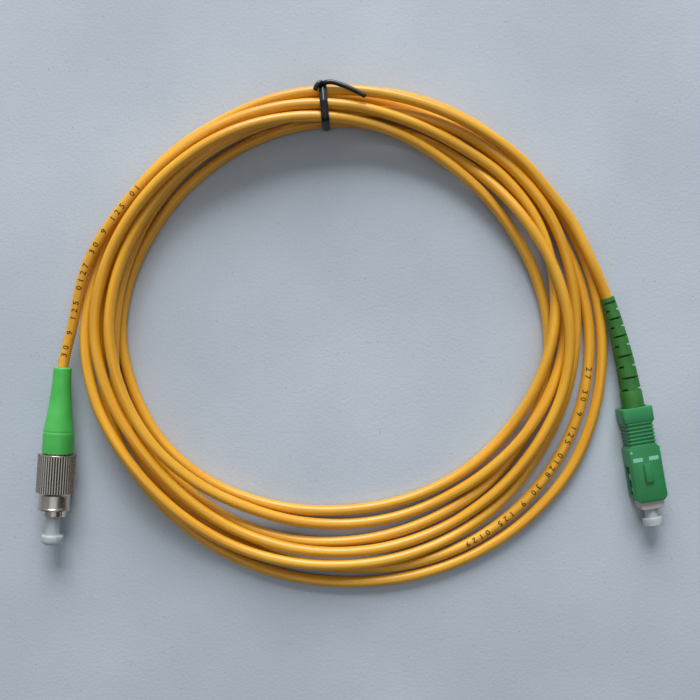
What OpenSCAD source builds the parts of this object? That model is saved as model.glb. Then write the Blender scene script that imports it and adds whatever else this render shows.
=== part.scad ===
// Simplex fibre patch cord: a coiled 3 mm cable with a threaded round plug on one end
// and a square push-pull plug on the other, both angle polished and both under dust caps.
// The cord lies on the plane z = 0.

/* [Cable] */
// Outer diameter of the jacket
cable_d = 3; // [2.9:0.05:3.05]
// Wall of the jacket
jacket_wall = 0.5; // [0.4:0.05:0.6]
// Diameter of the buffered fibre
buffer_d = 0.9; // [0.7:0.05:0.95]

/* [Coil] */
// Clear space that the loops are pressed apart to
loop_gap = 0.57; // [0.5:0.05:0.65]
// Clear space between one layer of loops and the next
layer_gap = 0.45; // [0.4:0.05:0.6]
// Place of the middle of the ring, left to right
ring_x = -1.35; // [-3:0.01:1]
// Place of the middle of the ring, front to back
ring_y = -5.94; // [-9:0.01:-4]

/* [Twist tie] */
// Width of the tie's band
tie_w = 2.2; // [1.8:0.1:3]
// Thickness of the tie's band
tie_t = 0.6; // [0.4:0.1:0.8]
// Diameter of the tie's twisted ends
tie_end_d = 1.3; // [1:0.1:1.6]
// Length of the tie's long end
tie_tail_len = 12.2; // [10:0.2:14]
// Length of the tie's short end
tie_hook_len = 2; // [1.6:0.1:2.4]
// Clear space between the tie and the cable
tie_gap = 0.3; // [0.2:0.05:0.5]

/* [Round plug: boot and nut] */
// Length of the boot
fc_boot_len = 24.5; // [22:0.5:28]
// Diameter of the boot where the cable enters
fc_mouth_d = 5; // [4.6:0.1:6]
// Diameter of the boot at the nut
fc_boot_d = 8.6; // [8:0.1:9.4]
// Length of the boot's tapered stretch
fc_taper_len = 18; // [14:0.5:20]
// Diameter over the knurl of the coupling nut
fc_knurl_d = 10.6; // [10.2:0.1:12]
// Length of the knurl
fc_knurl_len = 11; // [9:0.5:13]
// Number of knurl ridges
fc_knurl_teeth = 44; // [24:1:48]
// Diameter of the nut's smooth nose
fc_nose_d = 9.2; // [8.8:0.1:10]
// Length of the nut's smooth nose
fc_nose_len = 4.8; // [4:0.2:6]
// Outer diameter of the nut's thread
fc_thread_d = 8; // [7.8:0.1:8.2]
// Pitch of the nut's thread
fc_thread_pitch = 0.75; // [0.5:0.25:1]
// Thickness of the nut's back wall
fc_wall_t = 1.6; // [1.2:0.1:2]
// How far the nut can float forward
fc_float = 1.5; // [1:0.1:2]

/* [Round plug: body] */
// Diameter of the body's front sleeve
fc_sleeve_d = 5.6; // [5.5:0.05:5.9]
// How far the sleeve stands out of the nut
fc_sleeve_show = 1.9; // [1:0.1:2.5]
// Diameter of the journal that the nut turns on
fc_journal_d = 6; // [5.9:0.05:6.3]
// Diameter of the collar that stops the nut
fc_collar_d = 6.9; // [6.8:0.05:7]
// Thickness of the collar
fc_collar_t = 1.6; // [1:0.1:2]
// Width of the alignment key
fc_key_w = 2; // [1.6:0.1:2.2]
// Height of the alignment key
fc_key_h = 0.6; // [0.4:0.05:0.7]
// Length of the alignment key
fc_key_len = 4; // [3:0.5:5]

/* [Ferrules] */
// Diameter of both ferrules
ferrule_d = 2.5; // [2.4:0.05:2.5]
// Length of both ferrules
ferrule_len = 12.6; // [12:0.1:13]
// Slant of the polished tips in degrees
tip_slant = 8; // [6:0.5:9]
// Diameter of the flange on each ferrule
flange_d = 4.2; // [4:0.05:4.3]
// Length of the flange
flange_len = 4; // [3.5:0.1:4.5]
// How far a ferrule can be pushed back against its spring
ferrule_float = 1.5; // [1:0.1:1.6]
// Wire diameter of the springs
spring_wire = 0.5; // [0.4:0.05:0.55]
// Number of curls of each spring
spring_curls = 6; // [5:1:8]

/* [Crimps] */
// Diameter of the rear bodies' tails
tail_d = 3.5; // [3.3:0.05:3.6]
// Thickness of the strength yarn round a tail
yarn_t = 0.25; // [0.15:0.05:0.3]
// Outer diameter of the crimp sleeves
crimp_d = 4.7; // [4.6:0.05:4.8]
// Length of the crimp sleeves
crimp_len = 7.4; // [6.8:0.2:7.6]

/* [Round dust cap] */
// Diameter of the cap's tube
fc_cap_d = 3.9; // [3.5:0.05:3.95]
// Length of the cap's tube that shows
fc_cap_show = 5.2; // [4.9:0.1:6]
// Diameter of the cap's head
fc_head_d = 6.2; // [5.6:0.1:7]
// Length of the cap's head
fc_head_len = 3; // [2:0.1:4]

/* [Square plug: grip] */
// Width of the grip
sc_grip_w = 9.2; // [8.8:0.05:9.4]
// Height of the grip
sc_grip_h = 7.4; // [7.3:0.05:7.8]
// Length of the grip
sc_grip_len = 27; // [26:0.2:28]
// How much slimmer the grip's grooved waist is on each side
sc_waist = 0.65; // [0.4:0.05:0.7]
// How far the grip's rear collar stands out of the waist on each side
sc_flare = 0.5; // [0.3:0.05:0.6]
// Length of the grip's rear collar
sc_collar_len = 4.3; // [3.5:0.1:5]
// Number of finger grooves round the grip
sc_grooves = 6; // [4:1:7]
// Spacing of the finger grooves
sc_groove_pitch = 1.05; // [1:0.05:1.2]
// Depth of the finger grooves
sc_groove_depth = 0.35; // [0.2:0.05:0.4]
// Width of the key on the grip
sc_key_w = 2.3; // [2:0.1:2.6]
// Length of the key on the grip
sc_key_len = 5.2; // [4.5:0.1:6]
// Height of the key on the grip
sc_key_h = 0.8; // [0.5:0.05:1]
// Distance from the grip's back to the key
sc_key_z = 16.1; // [15:0.1:17]
// Height of the side windows
sc_window_h = 3.4; // [3:0.1:3.6]
// How far the grip can slide forward
sc_grip_travel = 1.5; // [1:0.1:1.6]

/* [Square plug: frame] */
// Width of the inner frame
sc_frame_w = 7; // [6.9:0.05:7.1]
// Height of the inner frame
sc_frame_h = 5.3; // [5.2:0.05:5.4]
// How far the frame stands out of the grip
sc_frame_show = 2.3; // [1.8:0.1:2.6]
// How far the latch shoulders stand out of the frame
sc_latch_h = 0.7; // [0.4:0.05:0.8]

/* [Square plug: boot] */
// Diameter of the boot at the grip
sc_boot_d = 6.3; // [6.2:0.05:6.5]
// Diameter of the boot where the cable enters
sc_mouth_d = 4; // [3.9:0.05:4.6]
// Length of the boot's bent, slotted stretch
sc_bend_len = 27.6; // [26:0.2:29]
// Bend of the boot in degrees
sc_bend = 9; // [8:0.5:13]
// Number of slots along the boot
sc_slots = 10; // [8:1:10]
// Width of each slot
sc_slot_w = 0.55; // [0.45:0.05:0.8]

/* [Square dust cap] */
// Diameter of the cap's stem
sc_cap_d = 3.7; // [3.4:0.05:4]
// Diameter of the cap's head
sc_head_d = 5.7; // [5:0.1:6.4]
// Length of the cap's head
sc_head_len = 2.3; // [1.8:0.1:3]

/* [Fits] */
// Radial clearance of turning and sliding fits
run_fit = 0.05; // [0.03:0.01:0.08]
// Radial clearance of fixed pieces in each other
seat_fit = 0.05; // [0.03:0.01:0.08]
// Clear space round soft pieces and along moving ones
loose_fit = 0.3; // [0.2:0.05:0.4]

/* [Hidden] */
$fn = 48;
eps = 0.01;

// ---- Where the plugs lie: the cable mouth of the round plug, the back of the grip
fc_place = [-81.98, -15.21, fc_knurl_d / 2];
fc_heading = -93.5;
sc_place = [81.4, -26.59, sc_grip_h / 2];
sc_heading = -80.3;

// ---- The coil: how far the cable's middle lies from the middle of the ring, one row a
// turn, at each hour of a clock face read from nine o'clock, and the layer that it is in
loop_reach = [
    [78.5, 72,   68.5, 65,   64,   63.8, 60,   55,   51.5, 51,   55.5, 62.5],
    [66,   64.5, 63,   62,   60.8, 61.2, 63.5, 63,   63,   62.5, 64,   66],
    [70.5, 68.3, 65,   61.5, 58,   57,   58.5, 59.5, 59,   60,   63,   65.5],
    [68.5, 70.8, 69.4, 68.2, 69.6, 70.5, 73,   75.3, 73,   71,   71,   70.2],
    [70.5, 69.5, 66.2, 67.4, 67.2, 67.2, 70.5, 71,   69.5, 67,   68,   69.5],
    [66.5, 66,   66.5, 65.5, 64.8, 63.8, 63.5, 59,   55.5, 54.5, 56.5, 62.5],
    [66.5, 66.5, 65,   64.8, 67.3, 68.5, 67.5, 65.5, 65.5, 65.5, 68,   69.8],
    [73.2, 72,   69.2, 67.8, 68.8, 72]
];
loop_layer = [
    [1,   2,   2, 2, 1, 1,   1,   0, 0, 0, 0, 0],
    [0,   0,   0, 0, 0, 1.6, 1.5, 1, 0, 1, 1, 2],
    [2,   2.7, 3, 2, 1, 0.5, 0,   0, 0, 0, 0, 0],
    [0,   0,   0, 0, 0, 0,   0,   0, 0, 0, 0, 1],
    [1,   1,   1, 1, 0, 0,   0,   0, 0, 0, 0, 0.5],
    [1.5, 1,   0, 0, 0, 0,   0.5, 1, 0, 0, 1, 2],
    [2,   2,   2, 1, 1, 1,   0,   0, 0, 1, 1, 2.1],
    [1,   1,   1, 2, 2, 1]
];
reach_list = [for (row = loop_reach) for (v = row) v];
layer_list = [for (row = loop_layer) for (v = row) v];
hours = 12;                                  // table entries in a turn
rings_per_hour = 2;
turn = hours * rings_per_hour;               // rings of the tube in a turn
rings = (len(reach_list) - 1) * rings_per_hour + 1;
start_clock = -90;                           // the first ring is at nine o'clock
ring_sides = 6;
lead_sides = 8;
press_rounds = 60;
settle_rounds = 20;                          // the first rounds, with stiff, sinking loops
stiffness = [0.3, 0.02];                     // share of a neighbour's shift, early and late
sink = 0.03;                                 // drop in a round
press_share = 0.5;

// ---- The tie's place in the ring, and what it holds
tie_clock = -5.2;
tie_lift = tie_t + tie_gap;                  // the loops ride over the band
tie_spread = 30;                             // degrees over which they rise
tie_ring = (tie_clock - start_clock) * turn / 360;
tie_sides = 24;
knot_slope = 50;                             // where the ends leave the band, up from level
tie_hook = [                                 // the ends' ways from the knot, in their lengths
    [0.1, -0.15, 0.15], [-0.15, 0.1, 0.55], [-0.7, -0.35, 0.65], [-1, -1.05, 0.6]
];
tie_tail = [
    [-0.016, -0.025, 0.016], [0.098, 0.016, 0.082], [0.246, 0.016, 0.098],
    [0.516, -0.074, 0.107], [0.779, -0.189, 0.107], [1, -0.311, 0.107]
];

// ---- Round plug, distances from the cable mouth
fc_nut_z = fc_boot_len + loose_fit;
fc_clip_z = fc_nut_z + fc_wall_t + run_fit;
fc_clip_t = 0.6;
fc_swell = 1.8;                              // how late the boot widens along its taper
fc_collar_z = fc_clip_z + fc_clip_t + fc_float + run_fit;
fc_nut_end = fc_nut_z + fc_knurl_len + fc_nose_len;
fc_body_end = fc_nut_end + fc_sleeve_show;
fc_cap_gap = loose_fit;                      // between the ferrule's tip and the cap's floor
fc_head_z = fc_body_end + fc_cap_show;
fc_tip_z = fc_head_z - fc_cap_gap - 0.8;
fc_ferrule_z = fc_tip_z - ferrule_len;
fc_flange_z = fc_ferrule_z - 1;
fc_shoulder_z = fc_flange_z + flange_len + run_fit;
shoulder_t = 1;
fc_cap_z = fc_shoulder_z + shoulder_t + ferrule_float + loose_fit;
fc_spigot_len = 3;
fc_spigot_z = fc_boot_len - 2.1;
fc_rim_z = fc_spigot_z - 2.4;
fc_tail_z = fc_rim_z - 6;
fc_jacket_end = fc_tail_z - 0.8;
fc_crimp_z = fc_jacket_end - 1.2;
fc_thread_bore = fc_thread_d - 0.8;
rim_d = 6.6;
spigot_d = 4.9;
chamber_d = flange_d + 2 * run_fit;
mouth_d = fc_cap_d + 0.5;
buffer_bore = buffer_d + 0.6;
buffer_reach = 5;                            // how far the buffer runs into the jacket
buffer_seat = 2;                             // and into the ferrule

// ---- Square plug, distances from the grip's back
sc_straight = 4.6;                           // straight front stretch of the boot
sc_boot_front = 2.4;
sc_back_t = 3.2;
sc_cavity_w = sc_frame_w + 0.2;
sc_cavity_h = sc_frame_h + 0.2;
sc_frame_z = 6;
sc_frame_end = sc_grip_len + sc_frame_show;
sc_stop_z = 9;
sc_stem_show = 2.6;
sc_head_z = sc_frame_end + sc_stem_show;
sc_tip_z = sc_head_z - fc_cap_gap;
sc_ferrule_z = sc_tip_z - ferrule_len;
sc_flange_z = sc_ferrule_z - 1;
sc_shoulder_z = sc_flange_z + flange_len + run_fit;
sc_cap_z = sc_shoulder_z + shoulder_t + ferrule_float + loose_fit;
sc_tail_z = -2.6;
sc_jacket_end = sc_tail_z - 0.8;
sc_crimp_z = sc_jacket_end - 1;
sc_window_len = 8.6;
sc_window_front = 1.8;                       // from the windows to the grip's front
sc_window_z = sc_grip_len - sc_window_len - sc_window_front;
sc_waist_w = sc_grip_w - 2 * sc_waist;
sc_waist_wall = 0.85;
sc_rear_w = sc_waist_w - 2 * sc_waist_wall;  // cavity and frame are slimmer at the waist
sc_groove_z = sc_collar_len + 0.9;
sc_body_z = sc_groove_z + sc_grooves * sc_groove_pitch - 0.35;
sc_step_z = sc_body_z + sc_waist + 0.2;
sc_frame_step_z = sc_step_z + sc_grip_travel + loose_fit;
sc_link_growth = 0.25;                       // the boot's links lengthen towards the plug
sc_arc = sc_bend_len / sc_bend * 180 / PI;   // radius of the boot's bend
sc_round = 0.8;
sc_cut = 1.3;                                // chamfer on the grip's front corners

// ---- Free stretches of the cable, chosen points between plug and coil
ring_mid = [ring_x, ring_y, 0];
coil_start = ring_point(start_clock, rough(0));
coil_end = ring_point(start_clock + (rings - 1) * 360 / turn, rough(rings - 1));
coil_start_way = unit(ring_point(start_clock + 360 / turn, rough(1)) - coil_start);
coil_end_way = unit(coil_end - ring_point(start_clock + (rings - 2) * 360 / turn, rough(rings - 2)));
fc_way = [cos(fc_heading), sin(fc_heading), 0];
sc_mouth_heading = sc_heading + sc_bend;
sc_way = [cos(sc_mouth_heading), sin(sc_mouth_heading), 0];
sc_axis_way = [cos(sc_heading), sin(sc_heading), 0];
sc_side_way = [-sin(sc_heading), cos(sc_heading), 0];
sc_mouth = sc_place - sc_axis_way * (sc_straight + sc_arc * sin(sc_bend))
    - sc_side_way * sc_arc * (1 - cos(sc_bend));
fc_lead_points = [
    fc_place,
    for (k = [0 : 5]) bridge(fc_place - fc_way * cable_d, -fc_way,
        coil_start - coil_start_way * cable_d, coil_start_way, k / 5),
    coil_start
];
sc_lead_points = [
    coil_end, coil_end + [coil_end_way[0], coil_end_way[1], 0] * cable_d,
    [67.25, 19.06, 4.95], [70.7, 12, 4.75],
    sc_mouth - sc_way * cable_d, sc_mouth
];

// ==== Curves ====
function unit(v) = v / norm(v);
function mix(a, b, t) = a + (b - a) * t;
function ease(t) = t * t * (3 - 2 * t);
function bridge(a, way_a, b, way_b, t) =
    let (n = norm(b - a))
    mix(a, b, ease(t)) + t * (1 - t) * n * (way_a * (1 - t) - way_b * t);

// Value of a list between two entries: on a smooth curve, or easing from one to the next
function curve_at(v, h) =
    let (k = min(floor(h), len(v) - 2), t = h - k,
         a = v[max(k - 1, 0)], b = v[k], c = v[k + 1], d = v[min(k + 2, len(v) - 1)])
    b + 0.5 * t * (c - a + t * (2 * a - 5 * b + 4 * c - d + t * (3 * (b - c) + d - a)));
function step_at(v, h) =
    let (k = min(floor(h), len(v) - 2))
    mix(v[k], v[k + 1], ease(h - k));

// Lowest that the cable's middle can lie at a ring: on the floor, or on the tie's band
function tie_rise(clock) =
    let (off = (clock - tie_clock + 3780) % 360 - 180, b = max(0, 1 - pow(off / tie_spread, 2)))
    tie_lift * ease(b);
function floor_at(i) = cable_d / 2 + tie_rise(start_clock + i * 360 / turn);

// The loops as the tables lay them: [reach, height] at each ring
function rough(i) = [
    curve_at(reach_list, i / rings_per_hour),
    floor_at(i) + (cable_d + layer_gap) * step_at(layer_list, i / rings_per_hour)
];
function ring_point(clock, p) = [ring_x + p[0] * sin(clock), ring_y + p[0] * cos(clock), p[1]];

// Push on a where it lies too near b
function shove(a, b) =
    let (d = a - b, far = max(norm(d), 0.001), lack = cable_d + loop_gap - far)
    lack > 0 ? d / far * lack / 2 : [0, 0];
function sum_of(v, c, i = 0) = i >= len(v) ? 0 : v[i][c] + sum_of(v, c, i + 1);

// All pushes on ring i: from the same hour of the other turns, and half-way to each side
function pushes(p, i) = [
    for (j = [i % turn : turn : rings - 1]) if (j != i)
        shove(p[i], p[j])
        + (i + 1 < rings && j + 1 < rings
            ? shove((p[i] + p[i + 1]) / 2, (p[j] + p[j + 1]) / 2) : [0, 0])
        + (i > 0 && j > 0
            ? shove((p[i] + p[i - 1]) / 2, (p[j] + p[j - 1]) / 2) : [0, 0])
];
function pressed(p, base) = [
    for (i = [0 : rings - 1])
        let (v = pushes(p, i))
        p[i] - base[i] + press_share * [sum_of(v, 0), sum_of(v, 1)]
];
function eased(u, base, early) = [
    for (i = [0 : rings - 1])
        let (near = (u[max(i - 1, 0)] + u[min(i + 1, rings - 1)]) / 2,
             s = mix(u[i], near, early ? stiffness[0] : stiffness[1]) - [0, early ? sink : 0],
             q = base[i] + s)
        i == 0 || i == rings - 1 ? base[i] : [q[0], max(q[1], floor_at(i))]
];
function settled(p, base, round = 0) =
    round >= press_rounds ? p
    : settled(eased(pressed(p, base), base, round < settle_rounds), base, round + 1);

// The coil's own path: both ends run straight for one diameter
function coil_path() =
    let (base = [for (i = [0 : rings - 1]) rough(i)], p = settled(base, base))
    [
        coil_start, coil_start + coil_start_way * cable_d,
        for (i = [1 : rings - 2]) ring_point(start_clock + i * 360 / turn, p[i]),
        coil_end - coil_end_way * cable_d, coil_end
    ];

// The loops' middles where they cross the tie, as [reach, height]
function held(path) = [
    for (i = [floor(tie_ring) + 1 : turn : len(path) - 2])
        let (q = mix(path[i], path[i + 1], tie_ring - floor(tie_ring)) - ring_mid)
        [norm([q[0], q[1]]), max(q[2], cable_d / 2 + tie_lift)]
];

// A point of the line that hugs the held loops at a distance, in one direction
function hugging(loops, far, a) =
    let (way = [cos(a), sin(a)], s = [for (v = loops) v * way])
    loops[search(max(s), s)[0]] + way * far;
function band_line(loops, far) = [
    for (a = [0 : 360 / tie_sides : 359]) hugging(loops, far, a)
];

// Least distance from the path to itself, points half a turn or more apart along it
function self_distance(path) = min([
    for (i = [0 : len(path) - 1]) for (j = [i + turn / 2 : 1 : len(path) - 2])
        from_stretch(path[i], path[j], path[j + 1])
]);
function from_stretch(p, a, b) =
    let (t = max(0, min(1, (p - a) * (b - a) / ((b - a) * (b - a)))))
    norm(p - a - (b - a) * t);

// ==== Shared shapes ====
// A round tube swept along a path, its ends square to it
module swept(path, d, sides) {
    last = len(path) - 1;
    ways = [for (i = [0 : last]) unit(path[min(i + 1, last)] - path[max(i - 1, 0)])];
    points = [
        for (i = [0 : last])
            let (side = unit(cross(ways[i], [0, 0, 1])), up = cross(side, ways[i]))
            for (k = [0 : sides - 1])
                let (a = 90 + k * 360 / sides)
                path[i] + (side * cos(a) + up * sin(a)) * d / 2
    ];
    skin = [
        for (i = [0 : last - 1]) for (k = [0 : sides - 1])
            let (a = i * sides + k, b = i * sides + (k + 1) % sides)
            for (f = [[a, b, b + sides], [a, b + sides, a + sides]]) f
    ];
    caps = [
        for (k = [1 : sides - 2])
            for (f = [[0, k + 1, k], [last * sides, last * sides + k, last * sides + k + 1]]) f
    ];
    polyhedron(points, concat(skin, caps), 4);
}

module pipe(d_out, d_in, z, len) {
    translate([0, 0, z]) difference() {
        cylinder(d = d_out, h = len);
        translate([0, 0, -eps]) cylinder(d = d_in, h = len + 2 * eps);
    }
}

module bore(d, z, len) {
    translate([0, 0, z]) cylinder(d = d, h = len);
}

// Rectangle with round corners
module soft_rect(w, h, r) {
    square([w - 2 * r, h], center = true);
    square([w, h - 2 * r], center = true);
    for (x = [-1, 1], y = [-1, 1]) translate([x * (w / 2 - r), y * (h / 2 - r)]) circle(r = r);
}

module at_fc() {
    translate(fc_place) rotate([0, 0, fc_heading]) rotate([0, 90, 0]) children();
}

module at_sc() {
    translate(sc_place) rotate([0, 0, sc_heading]) rotate([0, 90, 0]) children();
}

// A place on the bent boot, s behind the start of the bend
module on_bend(s) {
    a = s / sc_arc * 180 / PI;
    translate([0, -sc_arc * (1 - cos(a)), -sc_straight - sc_arc * sin(a)]) rotate([-a, 0, 0]) children();
}

// A pipe along the bend, over as many degrees
module bent_pipe(d_out, d_in, bend) {
    translate([0, -sc_arc, -sc_straight]) rotate([-90, 0, 90])
        rotate_extrude(angle = bend, $fn = 720) translate([sc_arc, 0]) difference() {
            circle(d = d_out, $fn = 48);
            if (d_in > 0) circle(d = d_in, $fn = 48);
        }
}

// A cutter that opens outwards at 45 degrees to either side
module wedge(h, s) {
    rotate([-45, 0, 0]) translate([-h, 0, 0]) cube([2 * h, s * 2, s * 2]);
}

// Parts that both plugs hold, placed by their distances along the plug
module buffer(z, end) {
    color("gold") bore(buffer_d, z, end - z);
}

module crimp(z, tail_z) {
    color("silver") difference() {
        bore(crimp_d, z, crimp_len);
        bore(cable_d + 2 * seat_fit, z - eps, crimp_len);
        bore(tail_d + 2 * yarn_t + 4 * seat_fit, tail_z - 0.6, crimp_len);
    }
}

module yarn(tail_z) {
    color("khaki") pipe(tail_d + 2 * (seat_fit + yarn_t), tail_d + 2 * seat_fit, tail_z, crimp_len - 3);
}

module rear_body(tail_z, rim_z, spigot_z, end, rim) {
    color("lightgray") difference() {
        union() {
            bore(tail_d, tail_z, rim_z - tail_z + eps);
            bore(rim, rim_z, spigot_z - rim_z);
            bore(spigot_d, spigot_z - eps, end - spigot_z + eps);
        }
        bore(buffer_bore, tail_z - eps, end - tail_z + 2 * eps);
    }
}

// A spring with closed ends between two seats
module spring(z, end) {
    wind_d = chamber_d - spring_wire - 0.4;
    low = z + spring_wire / 2 + 0.05;
    high = end - spring_wire / 2 - 0.05;
    steps = spring_curls * 8;
    path = [
        for (i = [0 : steps])
            let (t = i / steps)
            [wind_d / 2 * cos(i * 45), wind_d / 2 * sin(i * 45), mix(low, high, t)]
    ];
    color("lightsteelblue") swept(path, spring_wire, 6);
}

module flange(z) {
    color("silver") difference() {
        bore(flange_d, z, flange_len);
        bore(ferrule_d, z + 1, flange_len);
        bore(buffer_d + 2 * seat_fit, z - eps, flange_len);
        for (a = [0, 90]) rotate([0, 0, a])
            translate([-flange_d, -0.4, z + flange_len - 1.2]) cube([flange_d - 1.5, 0.8, 1.2 + eps]);
    }
}

module ferrule(z) {
    color("white") difference() {
        bore(ferrule_d, z, ferrule_len);
        bore(buffer_d + 2 * seat_fit, z - eps, buffer_seat);
        translate([0, 0, z + ferrule_len]) rotate([0, tip_slant, 0])
            translate([-ferrule_d, -ferrule_d, ferrule_d / 2 * sin(tip_slant) * -1])
                cube([2 * ferrule_d, 2 * ferrule_d, ferrule_d]);
    }
}

// ==== Cable and tie ====
module cable_coil() {
    path = coil_path();
    echo(least_gap = self_distance(path) - cable_d);
    color("goldenrod") swept(path, cable_d, ring_sides);
}

module cable_fc_lead() {
    color("goldenrod") swept(fc_lead_points, cable_d, lead_sides);
}

module cable_sc_lead() {
    color("goldenrod") swept(sc_lead_points, cable_d, lead_sides);
}

module twist_tie() {
    loops = held(coil_path());
    inner = cable_d / 2 + tie_gap;
    knot = ring_point(tie_clock, hugging(loops, inner + tie_t / 2, knot_slope));
    color([0.08, 0.08, 0.09]) union() {
        translate(ring_mid) rotate([0, 0, 90 - tie_clock]) translate([0, tie_w / 2, 0])
            rotate([90, 0, 0]) linear_extrude(tie_w) difference() {
                polygon(band_line(loops, inner + tie_t));
                polygon(band_line(loops, inner));
            }
        swept([for (p = tie_hook) knot + p * tie_hook_len], tie_end_d, lead_sides);
        swept([for (p = tie_tail) knot + p * tie_tail_len], tie_end_d, lead_sides);
    }
}

// ==== Round plug ====
module fc_boot() {
    color("limegreen") at_fc() difference() {
        union() {
            rotate_extrude() polygon([
                [0, 0],
                for (k = [0 : 6])
                    [mix(fc_mouth_d, fc_boot_d - 0.2, pow(k / 6, fc_swell)) / 2, fc_taper_len * k / 6],
                [0, fc_taper_len]
            ]);
            bore(fc_boot_d - 0.2, fc_taper_len - eps, 0.8);
            bore(fc_boot_d, fc_taper_len + 0.7, fc_boot_len - fc_taper_len - 0.7);
        }
        bore(cable_d + 2 * seat_fit, -eps, fc_boot_len);
        bore(crimp_d + 2 * seat_fit, fc_crimp_z - loose_fit, fc_boot_len);
        bore(rim_d + 2 * seat_fit, fc_rim_z - seat_fit, fc_boot_len);
    }
}

module fc_cable_end() {
    color("goldenrod") at_fc() pipe(cable_d, cable_d - 2 * jacket_wall, 0, fc_jacket_end);
}

module fc_strength_yarn() {
    at_fc() yarn(fc_tail_z);
}

module fc_buffered_fibre() {
    at_fc() buffer(fc_jacket_end - buffer_reach, fc_ferrule_z + buffer_seat - seat_fit);
}

module fc_crimp_sleeve() {
    at_fc() crimp(fc_crimp_z, fc_tail_z);
}

module fc_rear_body() {
    at_fc() rear_body(fc_tail_z, fc_rim_z, fc_spigot_z, fc_spigot_z + fc_spigot_len, rim_d);
}

module fc_spring() {
    at_fc() spring(fc_spigot_z + fc_spigot_len, fc_flange_z);
}

module fc_ferrule_flange() {
    at_fc() flange(fc_flange_z);
}

module fc_ferrule() {
    at_fc() ferrule(fc_ferrule_z);
}

module fc_front_body() {
    body_z = fc_spigot_z + seat_fit;
    color("silver") at_fc() difference() {
        union() {
            bore(fc_journal_d, body_z, fc_collar_z - body_z + eps);
            bore(fc_collar_d, fc_collar_z, fc_collar_t);
            bore(fc_sleeve_d, fc_collar_z + fc_collar_t - eps, fc_body_end - fc_collar_z - fc_collar_t + eps);
            translate([-fc_key_w / 2, 0, fc_body_end - fc_key_len])
                cube([fc_key_w, fc_sleeve_d / 2 + fc_key_h, fc_key_len]);
        }
        bore(spigot_d + 2 * seat_fit, body_z - eps, fc_spigot_len);
        bore(chamber_d, body_z, fc_shoulder_z - body_z);
        bore(ferrule_d + 0.6, body_z, fc_body_end);
        bore(mouth_d, fc_shoulder_z + shoulder_t, fc_body_end);
    }
}

module fc_nut_clip() {
    color("gray") at_fc() difference() {
        pipe(fc_thread_bore - 2 * run_fit, fc_journal_d + 2 * run_fit, fc_clip_z, fc_clip_t);
        translate([-0.6, 0, fc_clip_z - eps]) cube([1.2, fc_thread_d, fc_clip_t + 2 * eps]);
    }
}

module fc_coupling_nut() {
    knurl = [
        for (i = [0 : 2 * fc_knurl_teeth - 1])
            let (r = fc_knurl_d / 2 - (i % 2) * 0.35, a = i * 180 / fc_knurl_teeth)
            [r * cos(a), r * sin(a)]
    ];
    thread_z = fc_nut_z + fc_wall_t + 2.4;
    color("silver") at_fc() difference() {
        union() {
            translate([0, 0, fc_nut_z]) linear_extrude(fc_knurl_len) polygon(knurl);
            bore(fc_nose_d, fc_nut_z, fc_knurl_len + fc_nose_len - 0.3);
            translate([0, 0, fc_nut_end - 0.3 - eps])
                cylinder(d1 = fc_nose_d, d2 = fc_nose_d - 0.6, h = 0.3 + eps);
        }
        bore(fc_journal_d + 2 * run_fit, fc_nut_z - eps, fc_wall_t + 2 * eps);
        bore(fc_thread_bore, fc_nut_z + fc_wall_t, fc_nut_end);
        for (z = [thread_z : fc_thread_pitch : fc_nut_end - fc_thread_pitch])
            translate([0, 0, z]) rotate_extrude() polygon([
                [fc_thread_bore / 2 - eps, -0.3], [fc_thread_d / 2, 0], [fc_thread_bore / 2 - eps, 0.3]
            ]);
        translate([0, 0, fc_nut_end - 0.4]) cylinder(d1 = fc_thread_bore, d2 = fc_thread_d + 0.1, h = 0.41);
    }
}

module fc_dust_cap() {
    color([0.93, 0.94, 0.96]) at_fc() difference() {
        union() {
            bore(fc_cap_d, fc_cap_z, fc_head_z - fc_cap_z + eps);
            translate([0, 0, fc_head_z]) rotate_extrude() {
                square([fc_head_d / 2 - 0.5, fc_head_len]);
                square([fc_head_d / 2, fc_head_len - 1.2]);
                translate([fc_head_d / 2 - 1.2, fc_head_len - 1.2]) intersection() {
                    circle(r = 1.2);
                    square(1.2);
                }
            }
        }
        bore(ferrule_d + 2 * run_fit, fc_cap_z - eps, fc_tip_z + fc_cap_gap - fc_cap_z);
    }
}

// ==== Square plug ====
module sc_boot() {
    link = [
        for (k = [0 : sc_slots])
            sc_bend_len * (k * (1 + sc_link_growth) - sc_link_growth * k * k / sc_slots) / sc_slots
    ];
    step = 0.12;                             // each link is a little slimmer than the one before
    bore_d = cable_d + 2 * seat_fit;
    color("seagreen") at_sc() difference() {
        union() {
            bore(sc_boot_d, -sc_straight, sc_straight + sc_boot_front);
            for (k = [0 : sc_slots - 1]) on_bend(link[k + 1]) cylinder(
                d1 = mix(sc_boot_d - 0.4, sc_mouth_d, (k + 1) / sc_slots),
                d2 = mix(sc_boot_d - 0.4, sc_mouth_d, k / sc_slots) - step,
                h = link[k + 1] - link[k] + 0.15);
        }
        bent_pipe(bore_d, 0, sc_bend + 0.2);
        bore(bore_d + 0.1, -sc_straight - 0.2, sc_straight);
        bore(crimp_d + 2 * seat_fit, sc_crimp_z - seat_fit, sc_grip_len);
        for (k = [0 : sc_slots - 1]) on_bend(link[k] + 0.65) rotate([0, 0, k % 2 * 90]) {
            r = mix(sc_boot_d, sc_mouth_d, k / sc_slots) / 2;
            for (m = [0, 1]) mirror([0, m, 0]) translate([-sc_boot_d, r * 0.45, -sc_slot_w / 2])
                cube([2 * sc_boot_d, sc_boot_d, sc_slot_w]);
        }
    }
}

module sc_cable_end() {
    color("goldenrod") at_sc() union() {
        bent_pipe(cable_d, cable_d - 2 * jacket_wall, sc_bend);
        pipe(cable_d, cable_d - 2 * jacket_wall, -sc_straight, sc_jacket_end + sc_straight);
    }
}

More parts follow.
